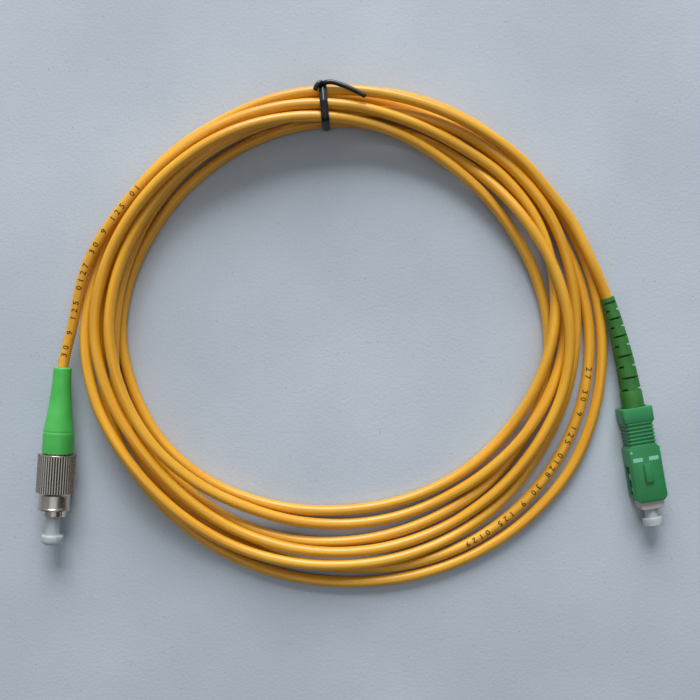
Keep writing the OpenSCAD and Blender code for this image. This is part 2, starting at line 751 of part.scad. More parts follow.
module sc_strength_yarn() {
    at_sc() yarn(sc_tail_z);
}

module sc_buffered_fibre() {
    at_sc() buffer(sc_jacket_end - buffer_reach, sc_ferrule_z + buffer_seat - seat_fit);
}

module sc_crimp_sleeve() {
    at_sc() crimp(sc_crimp_z, sc_tail_z);
}

module sc_rear_body() {
    at_sc() rear_body(sc_tail_z, sc_back_t + 0.2, sc_frame_z, sc_stop_z, sc_frame_h + 0.1);
}

module sc_spring() {
    at_sc() spring(sc_stop_z, sc_flange_z);
}

module sc_ferrule_flange() {
    at_sc() flange(sc_flange_z);
}

module sc_ferrule() {
    at_sc() ferrule(sc_ferrule_z);
}

module sc_plug_frame() {
    body_z = sc_frame_z + seat_fit;
    color("ivory") at_sc() difference() {
        union() {
            translate([0, 0, body_z]) linear_extrude(sc_frame_end - body_z)
                soft_rect(sc_frame_h, sc_rear_w - 0.2, 0.4);
            translate([0, 0, sc_frame_step_z]) linear_extrude(sc_frame_end - sc_frame_step_z)
                soft_rect(sc_frame_h, sc_frame_w, 0.4);
            for (m = [0, 1]) mirror([0, m, 0]) {
                translate([-1.4, 0, sc_window_z + 2.4]) rotate([90, 0, 90]) linear_extrude(2.8)
                    polygon([
                        [sc_frame_w / 2 - 0.5, 0], [sc_frame_w / 2 + sc_latch_h, 0],
                        [sc_frame_w / 2 + sc_latch_h, 1.4], [sc_frame_w / 2, 2.7], [sc_frame_w / 2 - 0.5, 2.7]
                    ]);
                translate([-1.4, sc_frame_w / 2 - 0.5, sc_window_z + 6.6])
                    cube([2.8, 0.5 + sc_latch_h * 0.7, 1]);
            }
        }
        bore(spigot_d + 2 * seat_fit, body_z - eps, sc_stop_z - sc_frame_z);
        bore(chamber_d, body_z, sc_shoulder_z - body_z);
        bore(ferrule_d + 0.6, body_z, sc_frame_end);
        bore(mouth_d, sc_shoulder_z + shoulder_t, sc_frame_end);
        for (m = [0, 1]) mirror([0, m, 0])
            translate([0, sc_frame_w / 2 - 0.6, sc_frame_end]) wedge(sc_frame_h, 0.6);
    }
}

module sc_grip() {
    color("seagreen") at_sc() difference() {
        union() {
            translate([0, 0, 0.2]) linear_extrude(sc_step_z) soft_rect(sc_grip_h, sc_waist_w, sc_round);
            linear_extrude(sc_collar_len) soft_rect(sc_grip_h, sc_waist_w + 2 * sc_flare, sc_round);
            translate([0, 0, sc_body_z]) linear_extrude(sc_grip_len - sc_body_z)
                soft_rect(sc_grip_h, sc_grip_w, sc_round);
            translate([-sc_grip_h / 2 - sc_key_h, 0, sc_key_z]) rotate([0, 90, 0])
                linear_extrude(sc_key_h + 1) translate([-sc_key_len / 2, 0])
                    soft_rect(sc_key_len, sc_key_w, 0.5);
        }
        bore(sc_boot_d + 2 * loose_fit, -eps, sc_back_t + 2 * eps);
        translate([-sc_cavity_h / 2, -sc_rear_w / 2, sc_back_t])
            cube([sc_cavity_h, sc_rear_w, sc_grip_len]);
        translate([-sc_cavity_h / 2, -sc_cavity_w / 2, sc_step_z])
            cube([sc_cavity_h, sc_cavity_w, sc_grip_len]);
        for (k = [0 : sc_grooves - 1]) translate([0, 0, sc_groove_z + k * sc_groove_pitch]) difference() {
            cube([sc_grip_h + 2, sc_grip_w + 2, sc_groove_pitch / 2], center = true);
            cube([sc_grip_h - 2 * sc_groove_depth, sc_waist_w - 2 * sc_groove_depth, sc_groove_pitch],
                center = true);
        }
        for (m = [0, 1]) mirror([0, m, 0]) {
            translate([-sc_window_h / 2, sc_cavity_w / 2 - 1, sc_window_z])
                cube([sc_window_h, sc_grip_w, sc_window_len]);
            translate([0, sc_grip_w / 2 - sc_cut, sc_grip_len]) wedge(sc_grip_h, sc_cut);
            translate([0, sc_waist_w / 2, sc_body_z]) wedge(sc_grip_h, sc_waist);
        }
    }
}

module sc_dust_cap() {
    color([0.93, 0.94, 0.96]) at_sc() difference() {
        union() {
            bore(sc_cap_d, sc_cap_z, sc_head_z - sc_cap_z + eps);
            translate([0, 0, sc_head_z]) rotate_extrude() {
                square([sc_head_d / 2 - 0.4, sc_head_len]);
                square([sc_head_d / 2, sc_head_len - 0.6]);
                translate([sc_head_d / 2 - 0.6, sc_head_len - 0.6]) intersection() {
                    circle(r = 0.6);
                    square(0.6);
                }
            }
        }
        bore(ferrule_d + 2 * run_fit, sc_cap_z - eps, sc_tip_z + 0.2 - sc_cap_z);
    }
}

cable_coil();
cable_fc_lead();
cable_sc_lead();
twist_tie();
fc_boot();
fc_cable_end();
fc_strength_yarn();
fc_buffered_fibre();
fc_crimp_sleeve();
fc_rear_body();
fc_spring();
fc_ferrule_flange();
fc_ferrule();
fc_front_body();
fc_nut_clip();
fc_coupling_nut();
fc_dust_cap();
sc_boot();
sc_cable_end();
sc_strength_yarn();
sc_buffered_fibre();
sc_crimp_sleeve();
sc_rear_body();
sc_spring();
sc_ferrule_flange();
sc_ferrule();
sc_plug_frame();
sc_grip();
sc_dust_cap();
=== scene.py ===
from contextlib import contextmanager
from math import atan, cos, hypot, pi, radians, sin, sqrt

import bmesh
import bpy
import numpy as np
from mathutils import Matrix, Vector


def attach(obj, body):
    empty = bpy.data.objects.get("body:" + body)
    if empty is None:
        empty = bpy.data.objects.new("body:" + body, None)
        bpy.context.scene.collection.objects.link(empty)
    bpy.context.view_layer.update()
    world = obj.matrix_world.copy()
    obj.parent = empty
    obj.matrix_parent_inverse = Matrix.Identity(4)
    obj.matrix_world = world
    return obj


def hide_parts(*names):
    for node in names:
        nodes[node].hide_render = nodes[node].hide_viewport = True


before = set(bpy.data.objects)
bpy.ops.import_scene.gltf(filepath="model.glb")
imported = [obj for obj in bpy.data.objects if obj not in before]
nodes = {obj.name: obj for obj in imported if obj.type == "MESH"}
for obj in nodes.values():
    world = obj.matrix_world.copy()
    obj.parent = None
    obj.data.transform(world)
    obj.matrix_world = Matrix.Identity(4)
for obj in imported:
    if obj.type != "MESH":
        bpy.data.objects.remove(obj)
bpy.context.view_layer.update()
scene = bpy.context.scene
mm = 0.001
print("frame loaded:", len(nodes), "nodes")


# helpers for colours, nodes and meshes

def linear(colour):
    values = [int(colour[i:i + 2], 16) / 255 for i in (1, 3, 5)]
    return [v / 12.92 if v <= 0.04045 else ((v + 0.055) / 1.055) ** 2.4 for v in values] + [1.0]


def addNode(tree, kind, values=None):
    # settings by their names, sockets by name or number; a node or a socket given as a value is linked
    node = tree.nodes.new(kind)
    for key, value in (values or {}).items():
        source = value.outputs[0] if isinstance(value, bpy.types.Node) else value
        if isinstance(source, bpy.types.NodeSocket):
            tree.links.new(source, node.inputs[key])
        elif isinstance(key, str) and hasattr(node, key):
            setattr(node, key, value)
        else:
            node.inputs[key].default_value = value
    return node


def sizedNoise(tree, coords, sizeMm, detail, stretch=(1, 1, 1)):
    # noise whose patches have a real size
    place = addNode(tree, "ShaderNodeMapping", {"Scale": stretch, "Vector": coords})
    return addNode(tree, "ShaderNodeTexNoise", {"Scale": 1000 / sizeMm, "Detail": detail, "Vector": place})


def mottle(tree, coords, sizeMm, low, high, detail=3.0, stretch=(1, 1, 1)):
    # colour that wanders between two tints
    ramp = addNode(tree, "ShaderNodeValToRGB", {"Fac": sizedNoise(tree, coords, sizeMm, detail, stretch)})
    for stop, position, tint in zip(ramp.color_ramp.elements, (0.32, 0.68), (low, high)):
        stop.position = position
        stop.color = linear(tint)
    return ramp


def grain(tree, coords, sizeMm, depthMm, stretch=(1, 1, 1), detail=2.0):
    # fine relief of a real depth
    noise = sizedNoise(tree, coords, sizeMm, detail, stretch)
    return addNode(tree, "ShaderNodeBump", {"Strength": 1.0, "Distance": depthMm * mm, "Height": noise})


def patchyGloss(tree, coords, sizeMm, low, high):
    # handled plating is never evenly glossy
    return addNode(tree, "ShaderNodeMapRange", {
        "To Min": low, "To Max": high, "Value": sizedNoise(tree, coords, sizeMm, 4.0)})


def newFinish(name, colour, roughness, tints=None, relief=None, gloss=None, soft=(), sockets=None,
              coords="Object"):
    # a material: patterns are given by their real size in millimetres first, soft is weight, metres and tint
    material = bpy.data.materials.new(name)
    material.use_nodes = True
    tree = material.node_tree
    shader = tree.nodes["Principled BSDF"]
    own = dict(zip(("Subsurface Weight", "Subsurface Scale", "Subsurface Radius"), soft), **(sockets or {}))
    for key, value in {"Base Color": linear(colour), "Roughness": roughness, **own}.items():
        shader.inputs[key].default_value = value
    where = addNode(tree, "ShaderNodeTexCoord").outputs[coords]
    for key, pattern, values in (
            ("Base Color", mottle, tints), ("Normal", grain, relief), ("Roughness", patchyGloss, gloss)):
        if values:
            tree.links.new(pattern(tree, where, *values).outputs[0], shader.inputs[key])
    return material


def addObject(name, data):
    made = bpy.data.objects.new(name, data)
    scene.collection.objects.link(made)
    return made


@contextmanager
def editing(mesh):
    # the mesh opened for editing, and written back at the end
    bm = bmesh.new()
    bm.from_mesh(mesh)
    yield bm
    bm.to_mesh(mesh)
    bm.free()


def meshPiece(name, points, faces, uvs=None):
    mesh = bpy.data.meshes.new(name)
    mesh.from_pydata([tuple(p) for p in points], [], faces)
    mesh.update()
    if uvs is not None:
        layer = mesh.uv_layers.new(name="UVMap")
        for loop in mesh.loops:
            layer.data[loop.index].uv = uvs[loop.index]
    return addObject(name, mesh)


def outward(piece, merge=1e-4):
    # doubles merged, then faces turned outwards
    with editing(piece.data) as bm:
        bmesh.ops.remove_doubles(bm, verts=bm.verts, dist=merge)
        bmesh.ops.recalc_face_normals(bm, faces=bm.faces)
    return piece


def smooth(piece, degrees):
    piece.data.shade_smooth()
    piece.data.set_sharp_from_angle(angle=radians(degrees))
    return piece


def evaluatedMesh(thing):
    bpy.context.view_layer.update()
    return bpy.data.meshes.new_from_object(thing.evaluated_get(bpy.context.evaluated_depsgraph_get()))


def settleMesh(piece):
    # what the modifiers make, as a plain mesh
    old, piece.data = piece.data, evaluatedMesh(piece)
    piece.modifiers.clear()
    bpy.data.meshes.remove(old)
    return piece


def softenEdges(piece, width, degrees):
    bevel = piece.modifiers.new("edges", "BEVEL")
    bevel.width = width
    bevel.segments = 2
    bevel.limit_method = "ANGLE"
    bevel.angle_limit = radians(degrees)
    return settleMesh(piece)


def roundOff(points, radius, steps):
    # the corners of a closed outline, each turned into a short curve
    out = []
    count = len(points)
    for i, p in enumerate(points):
        p = Vector(p)
        a, b = Vector(points[i - 1]), Vector(points[(i + 1) % count])
        r = radius[i] if isinstance(radius, list) else radius
        ra, rb = min(r, (a - p).length * 0.45), min(r, (b - p).length * 0.45)
        if min(ra, rb) < 1e-6:
            out.append(tuple(p))
            continue
        start, end = p + (a - p).normalized() * ra, p + (b - p).normalized() * rb
        for k in range(steps + 1):
            t = k / steps
            out.append(tuple(start * (1 - t) ** 2 + p * 2 * t * (1 - t) + end * t ** 2))
    return out


def circle(count):
    # evenly spaced directions
    return [(cos(2 * pi * k / count), sin(2 * pi * k / count)) for k in range(count)]


def lathe(name, outline, sides=64):
    # outline of (radius, distance) pairs, going once round the wall; no face lies on the axis
    points = [(r * x, r * y, z) for x, y in circle(sides) for r, z in outline]
    rows = len(outline)
    faces = [f for f in ringFaces(sides, rows, True) if max(outline[k % rows][0] for k in f) > 1e-6]
    return outward(meshPiece(name, points, faces))


def ringFaces(rings, count, closed=False):
    # faces between rings of the same number of points; the ends are capped unless the rings close up
    faces = []
    for s in range(rings if closed else rings - 1):
        here, there = s * count, (s + 1) % rings * count
        for k in range(count):
            n = (k + 1) % count
            faces.append((here + k, here + n, there + n, there + k))
    if not closed:
        faces += [tuple(range(count - 1, -1, -1)), tuple(range((rings - 1) * count, rings * count))]
    return faces


def place(piece, matrix):
    piece.data.transform(matrix @ Matrix.Scale(mm, 4))
    piece.data.update()
    return piece


def paint(piece, material):
    piece.data.materials.clear()
    piece.data.materials.append(material)


def finishPiece(piece, body, material, slotName, *replaced):
    paint(piece, material)
    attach(piece, body)
    if replaced:
        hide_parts(*replaced)
    return piece


def growTree(name, values):
    # an empty Geometry Nodes tree with an input for each named value
    tree = bpy.data.node_groups.new(name, "GeometryNodeTree")
    tree.interface.new_socket(name="Geometry", in_out="INPUT", socket_type="NodeSocketGeometry")
    for label, value in values.items():
        kind = {int: "Int", float: "Float"}.get(type(value), "Material")
        tree.interface.new_socket(name=label, in_out="INPUT", socket_type="NodeSocket" + kind)
    tree.interface.new_socket(name="Geometry", in_out="OUTPUT", socket_type="NodeSocketGeometry")
    return tree, tree.nodes.new("NodeGroupInput").outputs


def closeTree(tree, shape, given):
    # every tree ends in real geometry that has its finish
    real = addNode(tree, "GeometryNodeRealizeInstances", {"Geometry": shape})
    coated = addNode(tree, "GeometryNodeSetMaterial", {"Geometry": real, "Material": given["Finish"]})
    addNode(tree, "NodeGroupOutput", {0: coated})
    return tree


def runTree(piece, tree, values):
    modifier = piece.modifiers.new(tree.name, "NODES")
    modifier.node_group = tree
    for item in tree.interface.items_tree:
        if item.item_type == "SOCKET" and item.in_out == "INPUT" and item.name in values:
            modifier[item.identifier] = values[item.name]
    return settleMesh(piece)


# where the two plugs lie: a plug's own z points out of its front, along the heading

plugs = {
    "round": {"at": (-81.98, -15.21, 5.3), "heading": -93.5},
    "square": {"at": (81.4, -26.59, 3.7), "heading": -80.3},
}


def plugMatrix(name):
    plug = plugs[name]
    return (Matrix.Translation(Vector(plug["at"]) * mm)
            @ Matrix.Rotation(radians(plug["heading"]), 4, "Z") @ Matrix.Rotation(pi / 2, 4, "Y"))


atRound, atSquare = plugMatrix("round"), plugMatrix("square")


# camera, straight above the table

view = {"at": (0.05, -10.24, 270.0), "focalPixels": 927.0, "frame": 700}
cameraData = bpy.data.cameras.new("tableCamera")
cameraData.angle = 2 * atan(view["frame"] / 2 / view["focalPixels"])
cameraData.clip_start = 0.01
scene.camera = addObject("tableCamera", cameraData)
scene.camera.location = Vector(view["at"]) * mm


# the cord's route: reach from the ring's middle at each hour of a clock face read from
# nine o'clock, one row a turn, and the layer that the cable is in

coil = {
    "cable": 3.0, "loopGap": 0.57, "layerGap": 0.45, "middle": (-1.35, -5.94),
    "ringsPerHour": 2, "hours": 12, "startClock": -90, "tieClock": -5.2, "tieLift": 0.9, "tieSpread": 30,
    "reach": [
        [78.5, 72, 68.5, 65, 64, 63.8, 60, 55, 51.5, 51, 55.5, 62.5],
        [66, 64.5, 63, 62, 60.8, 61.2, 63.5, 63, 63, 62.5, 64, 66],
        [70.5, 68.3, 65, 61.5, 58, 57, 58.5, 59.5, 59, 60, 63, 65.5],
        [68.5, 70.8, 69.4, 68.2, 69.6, 70.5, 73, 75.3, 73, 71, 71, 70.2],
        [70.5, 69.5, 66.2, 67.4, 67.2, 67.2, 70.5, 71, 69.5, 67, 68, 69.5],
        [66.5, 66, 66.5, 65.5, 64.8, 63.8, 63.5, 59, 55.5, 54.5, 56.5, 62.5],
        [66.5, 66.5, 65, 64.8, 67.3, 68.5, 67.5, 65.5, 65.5, 65.5, 68, 69.8],
        [73.2, 72, 69.2, 67.8, 68.8, 72],
    ],
    "layer": [
        [1, 2, 2, 2, 1, 1, 1, 0, 0, 0, 0, 0],
        [0, 0, 0, 0, 0, 1.6, 1.5, 1, 0, 1, 1, 2],
        [2, 2.7, 3, 2, 1, 0.5, 0, 0, 0, 0, 0, 0],
        [0, 0, 0, 0, 0, 0, 0, 0, 0, 0, 0, 1],
        [1, 1, 1, 1, 0, 0, 0, 0, 0, 0, 0, 0.5],
        [1.5, 1, 0, 0, 0, 0, 0.5, 1, 0, 0, 1, 2],
        [2, 2, 2, 1, 1, 1, 0, 0, 0, 1, 1, 2.1],
        [1, 1, 1, 2, 2, 1],
    ],
    "rounds": 60, "stiffRounds": 20, "stiff": (0.3, 0.02), "sink": 0.03, "press": 0.5,
    "sides": 28, "stepMm": 1.6, "easeLength": 75, "easeFade": 30, "easeRounds": 12,
    "squareLead": [(67.25, 19.06, 4.95), (70.7, 12, 4.75)],  # on the way to the square plug
}
turn = coil["hours"] * coil["ringsPerHour"]
reachList = [v for row in coil["reach"] for v in row]
layerList = [v for row in coil["layer"] for v in row]
rings = (len(reachList) - 1) * coil["ringsPerHour"] + 1


def clockAt(i):
    return coil["startClock"] + i * 360 / turn


def lowest(i):
    off = (clockAt(i) - coil["tieClock"] + 180) % 360 - 180
    b = max(0, 1 - (off / coil["tieSpread"]) ** 2)
    return coil["cable"] / 2 + coil["tieLift"] * b * b * (3 - 2 * b)


def rough(i):
    h = i / coil["ringsPerHour"]
    k = min(int(h), len(reachList) - 2)
    t = h - k
    a, b, c, d = (reachList[max(0, min(j, len(reachList) - 1))] for j in (k - 1, k, k + 1, k + 2))
    reach = b + 0.5 * t * (c - a + t * (2 * a - 5 * b + 4 * c - d + t * (3 * (b - c) + d - a)))
    layer = layerList[k] + (layerList[k + 1] - layerList[k]) * t * t * (3 - 2 * t)
    return reach, lowest(i) + (coil["cable"] + coil["layerGap"]) * layer


def ringPoint(i, p):
    a = radians(clockAt(i))
    return Vector((coil["middle"][0] + p[0] * sin(a), coil["middle"][1] + p[0] * cos(a), p[1]))


def settleLoops():
    # the loops press each other apart and sink onto each other
    base = np.array([rough(i) for i in range(rings)])
    floor = np.array([lowest(i) for i in range(rings)])
    p = base.copy()
    room = coil["cable"] + coil["loopGap"]
    for step in range(coil["rounds"]):
        push = np.zeros_like(p)
        for m in range(turn, rings, turn):
            d = p[m:] - p[:-m]
            # at each ring, and halfway between two rings, where both ends take the shove
            for way, ends in ((d, [slice(None)]), ((d[1:] + d[:-1]) / 2, [slice(1, None), slice(-1)])):
                far = np.maximum(np.hypot(way[:, 0], way[:, 1]), 0.001)[:, None]
                shove = way / far * np.maximum(0, room - far) / 2 * coil["press"]
                for end in ends:
                    push[m:][end] += shove
                    push[:-m][end] -= shove
        u = p + push - base
        near = (np.vstack([u[:1], u[:-1]]) + np.vstack([u[1:], u[-1:]])) / 2
        early = step < coil["stiffRounds"]
        u = u + (near - u) * coil["stiff"][0 if early else 1]
        if early:
            u[:, 1] -= coil["sink"]
        u[0] = u[-1] = 0
        p = base + u
        p[1:-1, 1] = np.maximum(p[1:-1, 1], floor[1:-1])
    return p


def curveThrough(points, stepLength, spanSteps=24):
    # centripetal Catmull-Rom through the points, then spaced evenly
    pts = [np.array(p, float) for p in points]
    pts = [2 * pts[0] - pts[1]] + pts + [2 * pts[-1] - pts[-2]]
    levels = (((0, 1), (1, 2), (2, 3)), ((0, 2), (1, 3)), ((1, 2),))
    fine = []
    for i in range(1, len(pts) - 2):
        four = pts[i - 1:i + 3]
        knot = np.cumsum([0] + [sqrt(np.linalg.norm(b - a)) for a, b in zip(four, four[1:])])
        for t in np.linspace(knot[1], knot[2], spanSteps, endpoint=False):
            row = four
            for spans in levels:
                shares = [(t - knot[a]) / (knot[b] - knot[a]) for a, b in spans]
                row = [(1 - share) * row[j] + share * row[j + 1] for j, share in enumerate(shares)]
            fine.append(row[0])
    fine = np.array(fine + [pts[-2]])
    along = np.r_[0, np.cumsum(np.linalg.norm(np.diff(fine, axis=0), axis=1))]
    even = np.linspace(0, along[-1], max(2, int(round(along[-1] / stepLength))) + 1)
    return np.column_stack([np.interp(even, along, fine[:, k]) for k in range(3)]), even


squareBoot = {
    "straight": 4.6, "front": 2.4, "bendLength": 27.6, "bend": 9.0, "frontRadius": 3.15, "mouthRadius": 2.0,
    "boreRadius": 1.55, "crimpRadius": 2.4, "slots": 10, "slotWidth": 0.55, "slotStart": 0.65,
    "linkGrowth": 0.25, "seam": 0.2, "rows": 40,
}
bendRadius = squareBoot["bendLength"] / radians(squareBoot["bend"])


def bendBack(z, y):
    # where a point of the straight boot goes once the boot is bent
    start = -squareBoot["straight"]
    if z >= start:
        return z, y
    a = (start - z) / bendRadius
    return start - (bendRadius + y) * sin(a), -bendRadius + (bendRadius + y) * cos(a)


def bridge(a, wayA, b, wayB, t):
    # one smooth run from a to b, leaving and arriving along the two ways
    ease = t * t * (3 - 2 * t)
    return a.lerp(b, ease) + (wayA * (1 - t) - wayB * t) * (t * (1 - t) * (b - a).length)


def cordRoute():
    p = settleLoops()
    stations = [ringPoint(i, p[i]) for i in range(rings)]
    loose = [ringPoint(i, rough(i)) for i in (0, 1, rings - 2, rings - 1)]
    first, last = (loose[1] - loose[0]).normalized(), (loose[3] - loose[2]).normalized()
    start, end = stations[0], stations[-1]
    roundMouth = Vector(plugs["round"]["at"])
    roundWay = (atRound.to_3x3() @ Vector((0, 0, 1))).normalized()
    z, y = bendBack(-squareBoot["straight"] - squareBoot["bendLength"], 0)
    squareMouth = Vector(plugs["square"]["at"]) + atSquare.to_3x3() @ Vector((0, y, z))
    a = radians(plugs["square"]["heading"] + squareBoot["bend"])
    squareWay = Vector((cos(a), sin(a), 0))
    cable, stub = coil["cable"], coil["cable"] / 3
    level = Vector((last.x, last.y, 0))
    lead = [bridge(roundMouth - roundWay * stub, -roundWay, start - first * stub, first, k / 5)
            for k in range(6)]
    return ([roundMouth] + lead + [start, start + first * cable] + stations[1:-1]
            + [end - last * cable, end, end + level * cable] + [Vector(p) for p in coil["squareLead"]]
            + [squareMouth - squareWay * cable, squareMouth])


def easeEnds(path, along):
    # the cable's free ends bend evenly, as a springy cord does, and settle into the coil
    fromEnd = np.minimum(along, along[-1] - along)
    weight = 0.5 * np.clip((coil["easeLength"] - fromEnd) / coil["easeFade"], 0, 1)[1:-1, None]
    for step in range(coil["easeRounds"]):
        path[1:-1] += ((path[:-2] + path[2:]) / 2 - path[1:-1]) * weight
    path[:, 2] = np.maximum(path[:, 2], coil["cable"] / 2)  # nothing sinks into the table
    return path


route, routeLength = curveThrough(cordRoute(), coil["stepMm"])
route = easeEnds(route, routeLength)
routeLength = np.r_[0, np.cumsum(np.linalg.norm(np.diff(route, axis=0), axis=1))]
print("cord route:", len(route), "points,", round(routeLength[-1] / 1000, 3), "m")


def framesAlong(path):
    # the sideways and the upward direction at each point of a path
    ways = np.gradient(path, axis=0)
    side = np.cross(ways, [0, 0, 1.0])
    side /= np.linalg.norm(side, axis=1)[:, None]
    up = np.cross(side, ways)
    return side, up / np.linalg.norm(up, axis=1)[:, None]


def tube(name, path, along, radius, sides):
    # a round tube with its own map: round the girth in u, millimetres along in v
    count = len(path)
    side, up = framesAlong(path)
    radii = np.broadcast_to(radius, count)
    points = [path[i] + (up[i] * x + side[i] * y) * radii[i] for i in range(count) for x, y in circle(sides)]
    corners = ((0, 0), (1, 0), (1, 1), (0, 1))
    uvs = [((k + a) / sides, along[i + b])
           for i in range(count - 1) for k in range(sides) for a, b in corners]
    uvs += [(0, 0)] * (2 * sides)
    return smooth(outward(meshPiece(name, points, ringFaces(count, sides), uvs), 0), 50)


# PVC jacket, extruded: satin, with faint streaks along it and a slight skin of orange peel;
# its map is in millimetres along, so a size of 1000 leaves the stretch alone to set the scale
jacketFinish = newFinish(
    "extrudedPvcJacket", "#E3A220", 0.38, (1000, "#DC981A", "#EBB02A", 4.0, (6, 0.035, 1)),
    (1000, 0.012, (40, 3.2, 1)), soft=(0.12, 0.0012, (1.0, 0.45, 0.08)), coords="UV", sockets={
        "IOR": 1.5, "Specular IOR Level": 0.5, "Coat Weight": 0.2, "Coat Roughness": 0.25})

cable = tube("yellowCable", route * mm, routeLength, coil["cable"] / 2 * mm, coil["sides"])
finishPiece(cable, "root", jacketFinish, "cable_jacket", "cable_coil", "cable_fc_lead", "cable_sc_lead")
print("cable made")


# running figures printed along the jacket, plain numbers only

jacketPrint = {"height": 1.75, "fontSize": 2.415, "pitch": 2.2, "bold": 0.045, "lift": 0.012,
               "runs": [(3.0, "30 9 125 0127 30 9 125 01"), (1864.0, "27 30 9 125 0128 30 9 125 0129")]}

# ink-jet marks, brown-black and a little worn, sunk in the jacket's gloss
inkFinish = newFinish("inkJetPrint", "#3A240A", 0.5, (0.8, "#2B1A08", "#5A3B12", 4.0), sockets={"IOR": 1.45})


def glyph(figure):
    # one figure as a flat mesh, cut into strips so that it can follow the girth
    data = bpy.data.curves.new("figure", "FONT")
    data.body = figure
    data.size = jacketPrint["fontSize"]
    data.resolution_u = 2
    data.offset = jacketPrint["bold"]
    text = addObject("figure", data)
    mesh = evaluatedMesh(text)
    with editing(mesh) as bm:
        for level in (0.2, 0.4, 0.6, 0.8):
            bmesh.ops.bisect_plane(bm, geom=bm.verts[:] + bm.edges[:] + bm.faces[:], dist=1e-4,
                                   plane_co=(0, jacketPrint["height"] * level, 0), plane_no=(0, 1, 0))
        bmesh.ops.triangulate(bm, faces=bm.faces[:])
    made = ([tuple(v.co) for v in mesh.vertices], [tuple(f.vertices) for f in mesh.polygons])
    bpy.data.objects.remove(text)
    bpy.data.meshes.remove(mesh)
    return made


def makeJacketPrint():
    used = set("".join(figures for start, figures in jacketPrint["runs"])) - {" "}
    glyphs = {figure: glyph(figure) for figure in sorted(used)}
    side, up = framesAlong(route)
    radius = coil["cable"] / 2 + jacketPrint["lift"]
    points, faces = [], []
    for start, figures in jacketPrint["runs"]:
        for n, figure in enumerate(figures):
            if figure == " ":
                continue
            flat, around = glyphs[figure]
            base = len(points)
            for x, y, z in flat:
                at = start + n * jacketPrint["pitch"] + x
                b = (y - jacketPrint["height"] / 2) / radius
                p, u, v = (np.array([np.interp(at, routeLength, field[:, k]) for k in range(3)])
                           for field in (route, up, side))
                points.append(p + (u * cos(b) - v * sin(b)) * radius)
            for face in around:
                a, b, c = (points[base + k] for k in face)
                outside = np.dot(np.cross(b - a, c - a), [0, 0, 1]) > 0
                faces.append(tuple(base + k for k in (face if outside else face[::-1])))
    marks = meshPiece("jacketPrint", np.array(points) * mm, faces)
    finishPiece(marks, "root", inkFinish, "tie_black")


makeJacketPrint()
print("jacket print made")


# finishes of the other pieces

# soft PVC, light green, moulded: satin and slightly see-through at its edges
limeFinish = newFinish("mouldedSoftPvcLime", "#4FC152", 0.46, (6.0, "#48B04B", "#56C159"), (0.25, 0.004),
                       soft=(0.2, 0.0015, (0.3, 1.0, 0.3)), sockets={"IOR": 1.5})

# ABS grip, mid green, spark-eroded mould face: fine even grain, soft sheen
gripFinish = newFinish("mouldedAbsGreen", "#2C8C4A", 0.4, (9.0, "#267B45", "#2F8A4C"), (0.18, 0.006),
                       sockets={"IOR": 1.53, "Specular IOR Level": 0.45})

# thermoplastic elastomer boot, darker and duller than the grip
bootFinish = newFinish("mouldedElastomerGreen", "#2D6E26", 0.52, (5.0, "#296822", "#347A2C"),
                       (0.22, 0.006), soft=(0.1, 0.001, (0.2, 1.0, 0.2)), sockets={"IOR": 1.5})

# bright nickel plate on turned brass: warm grey, fine tool marks
nickelFinish = newFinish("nickelPlatedBrass", "#C6BDB0", 0.22, relief=(0.5, 0.004), gloss=(2.5, 0.18, 0.34),
                         sockets={"Metallic": 1.0})

# grime between the ridges, and painted shade there: the low faces are coloured darker than the nickel
grooveGrimeAndShadeFinish = newFinish("grimeAndPaintedShadeNickelGroove", "#7C7368", 0.42, relief=(0.4, 0.004),
                         gloss=(1.5, 0.35, 0.55), sockets={"Metallic": 1.0})

# low-density polyethylene caps: milky, waxy, lets light through
capFinish = newFinish("milkyPolyethylene", "#CFD7D7", 0.36, relief=(1.2, 0.01),
                      soft=(0.5, 0.002, (1.0, 1.0, 1.0)), sockets={"IOR": 1.51, "Transmission Weight": 0.32})

# PBT inner frame, off-white
frameFinish = newFinish("mouldedPbtIvory", "#BDB7AE", 0.45, (4.0, "#B5AFA6", "#C4BFB7"), (0.3, 0.004),
                        soft=(0.15, 0.001), sockets={"IOR": 1.54})

# polyester-covered wire tie, near black with a dull shine
tieFinish = newFinish("plasticCoatedTie", "#0B0B0D", 0.36, (1.5, "#08080A", "#131317"), (0.35, 0.015),
                      sockets={"IOR": 1.5, "Coat Weight": 0.15})

# the jacket's PVC inside the boot, dulled, its colour darkened as painted shade
paintedShadeJacketFinish = newFinish("pvcInsideBootPaintedShade", "#3A3414", 0.6, (3.0, "#302C12", "#443C18"),
                               (0.3, 0.005), sockets={"IOR": 1.5})

# drawn spring wire
springFinish = newFinish("drawnSpringWire", "#9A9CA0", 0.3, relief=(0.15, 0.002), sockets={"Metallic": 1.0})

# drawn crimp sleeve
crimpFinish = newFinish("drawnCrimpSleeve", "#BFC1C4", 0.38, relief=(0.3, 0.004), sockets={"Metallic": 1.0})

# polished zirconia
ceramicFinish = newFinish("polishedZirconia", "#F3F1EC", 0.08, relief=(0.2, 0.0005),
                          soft=(0.2, 0.0008), sockets={"IOR": 2.1})

# aramid yarn, straw yellow, with a soft sheen
yarnFinish = newFinish("aramidYarn", "#D9C262", 0.6, (0.3, "#C9AF4E", "#E6D27A"), (0.12, 0.02),
                       sockets={"Sheen Weight": 0.4})

# tight buffer on the fibre, white
bufferFinish = newFinish("tightBufferWhite", "#EFEDE6", 0.4, (2.0, "#E8E6DE", "#F4F2EC"),
                         sockets={"IOR": 1.5})

# pad-printed pale green index marks
markFinish = newFinish("padPrintMint", "#86C4A8", 0.55, relief=(0.1, 0.003))

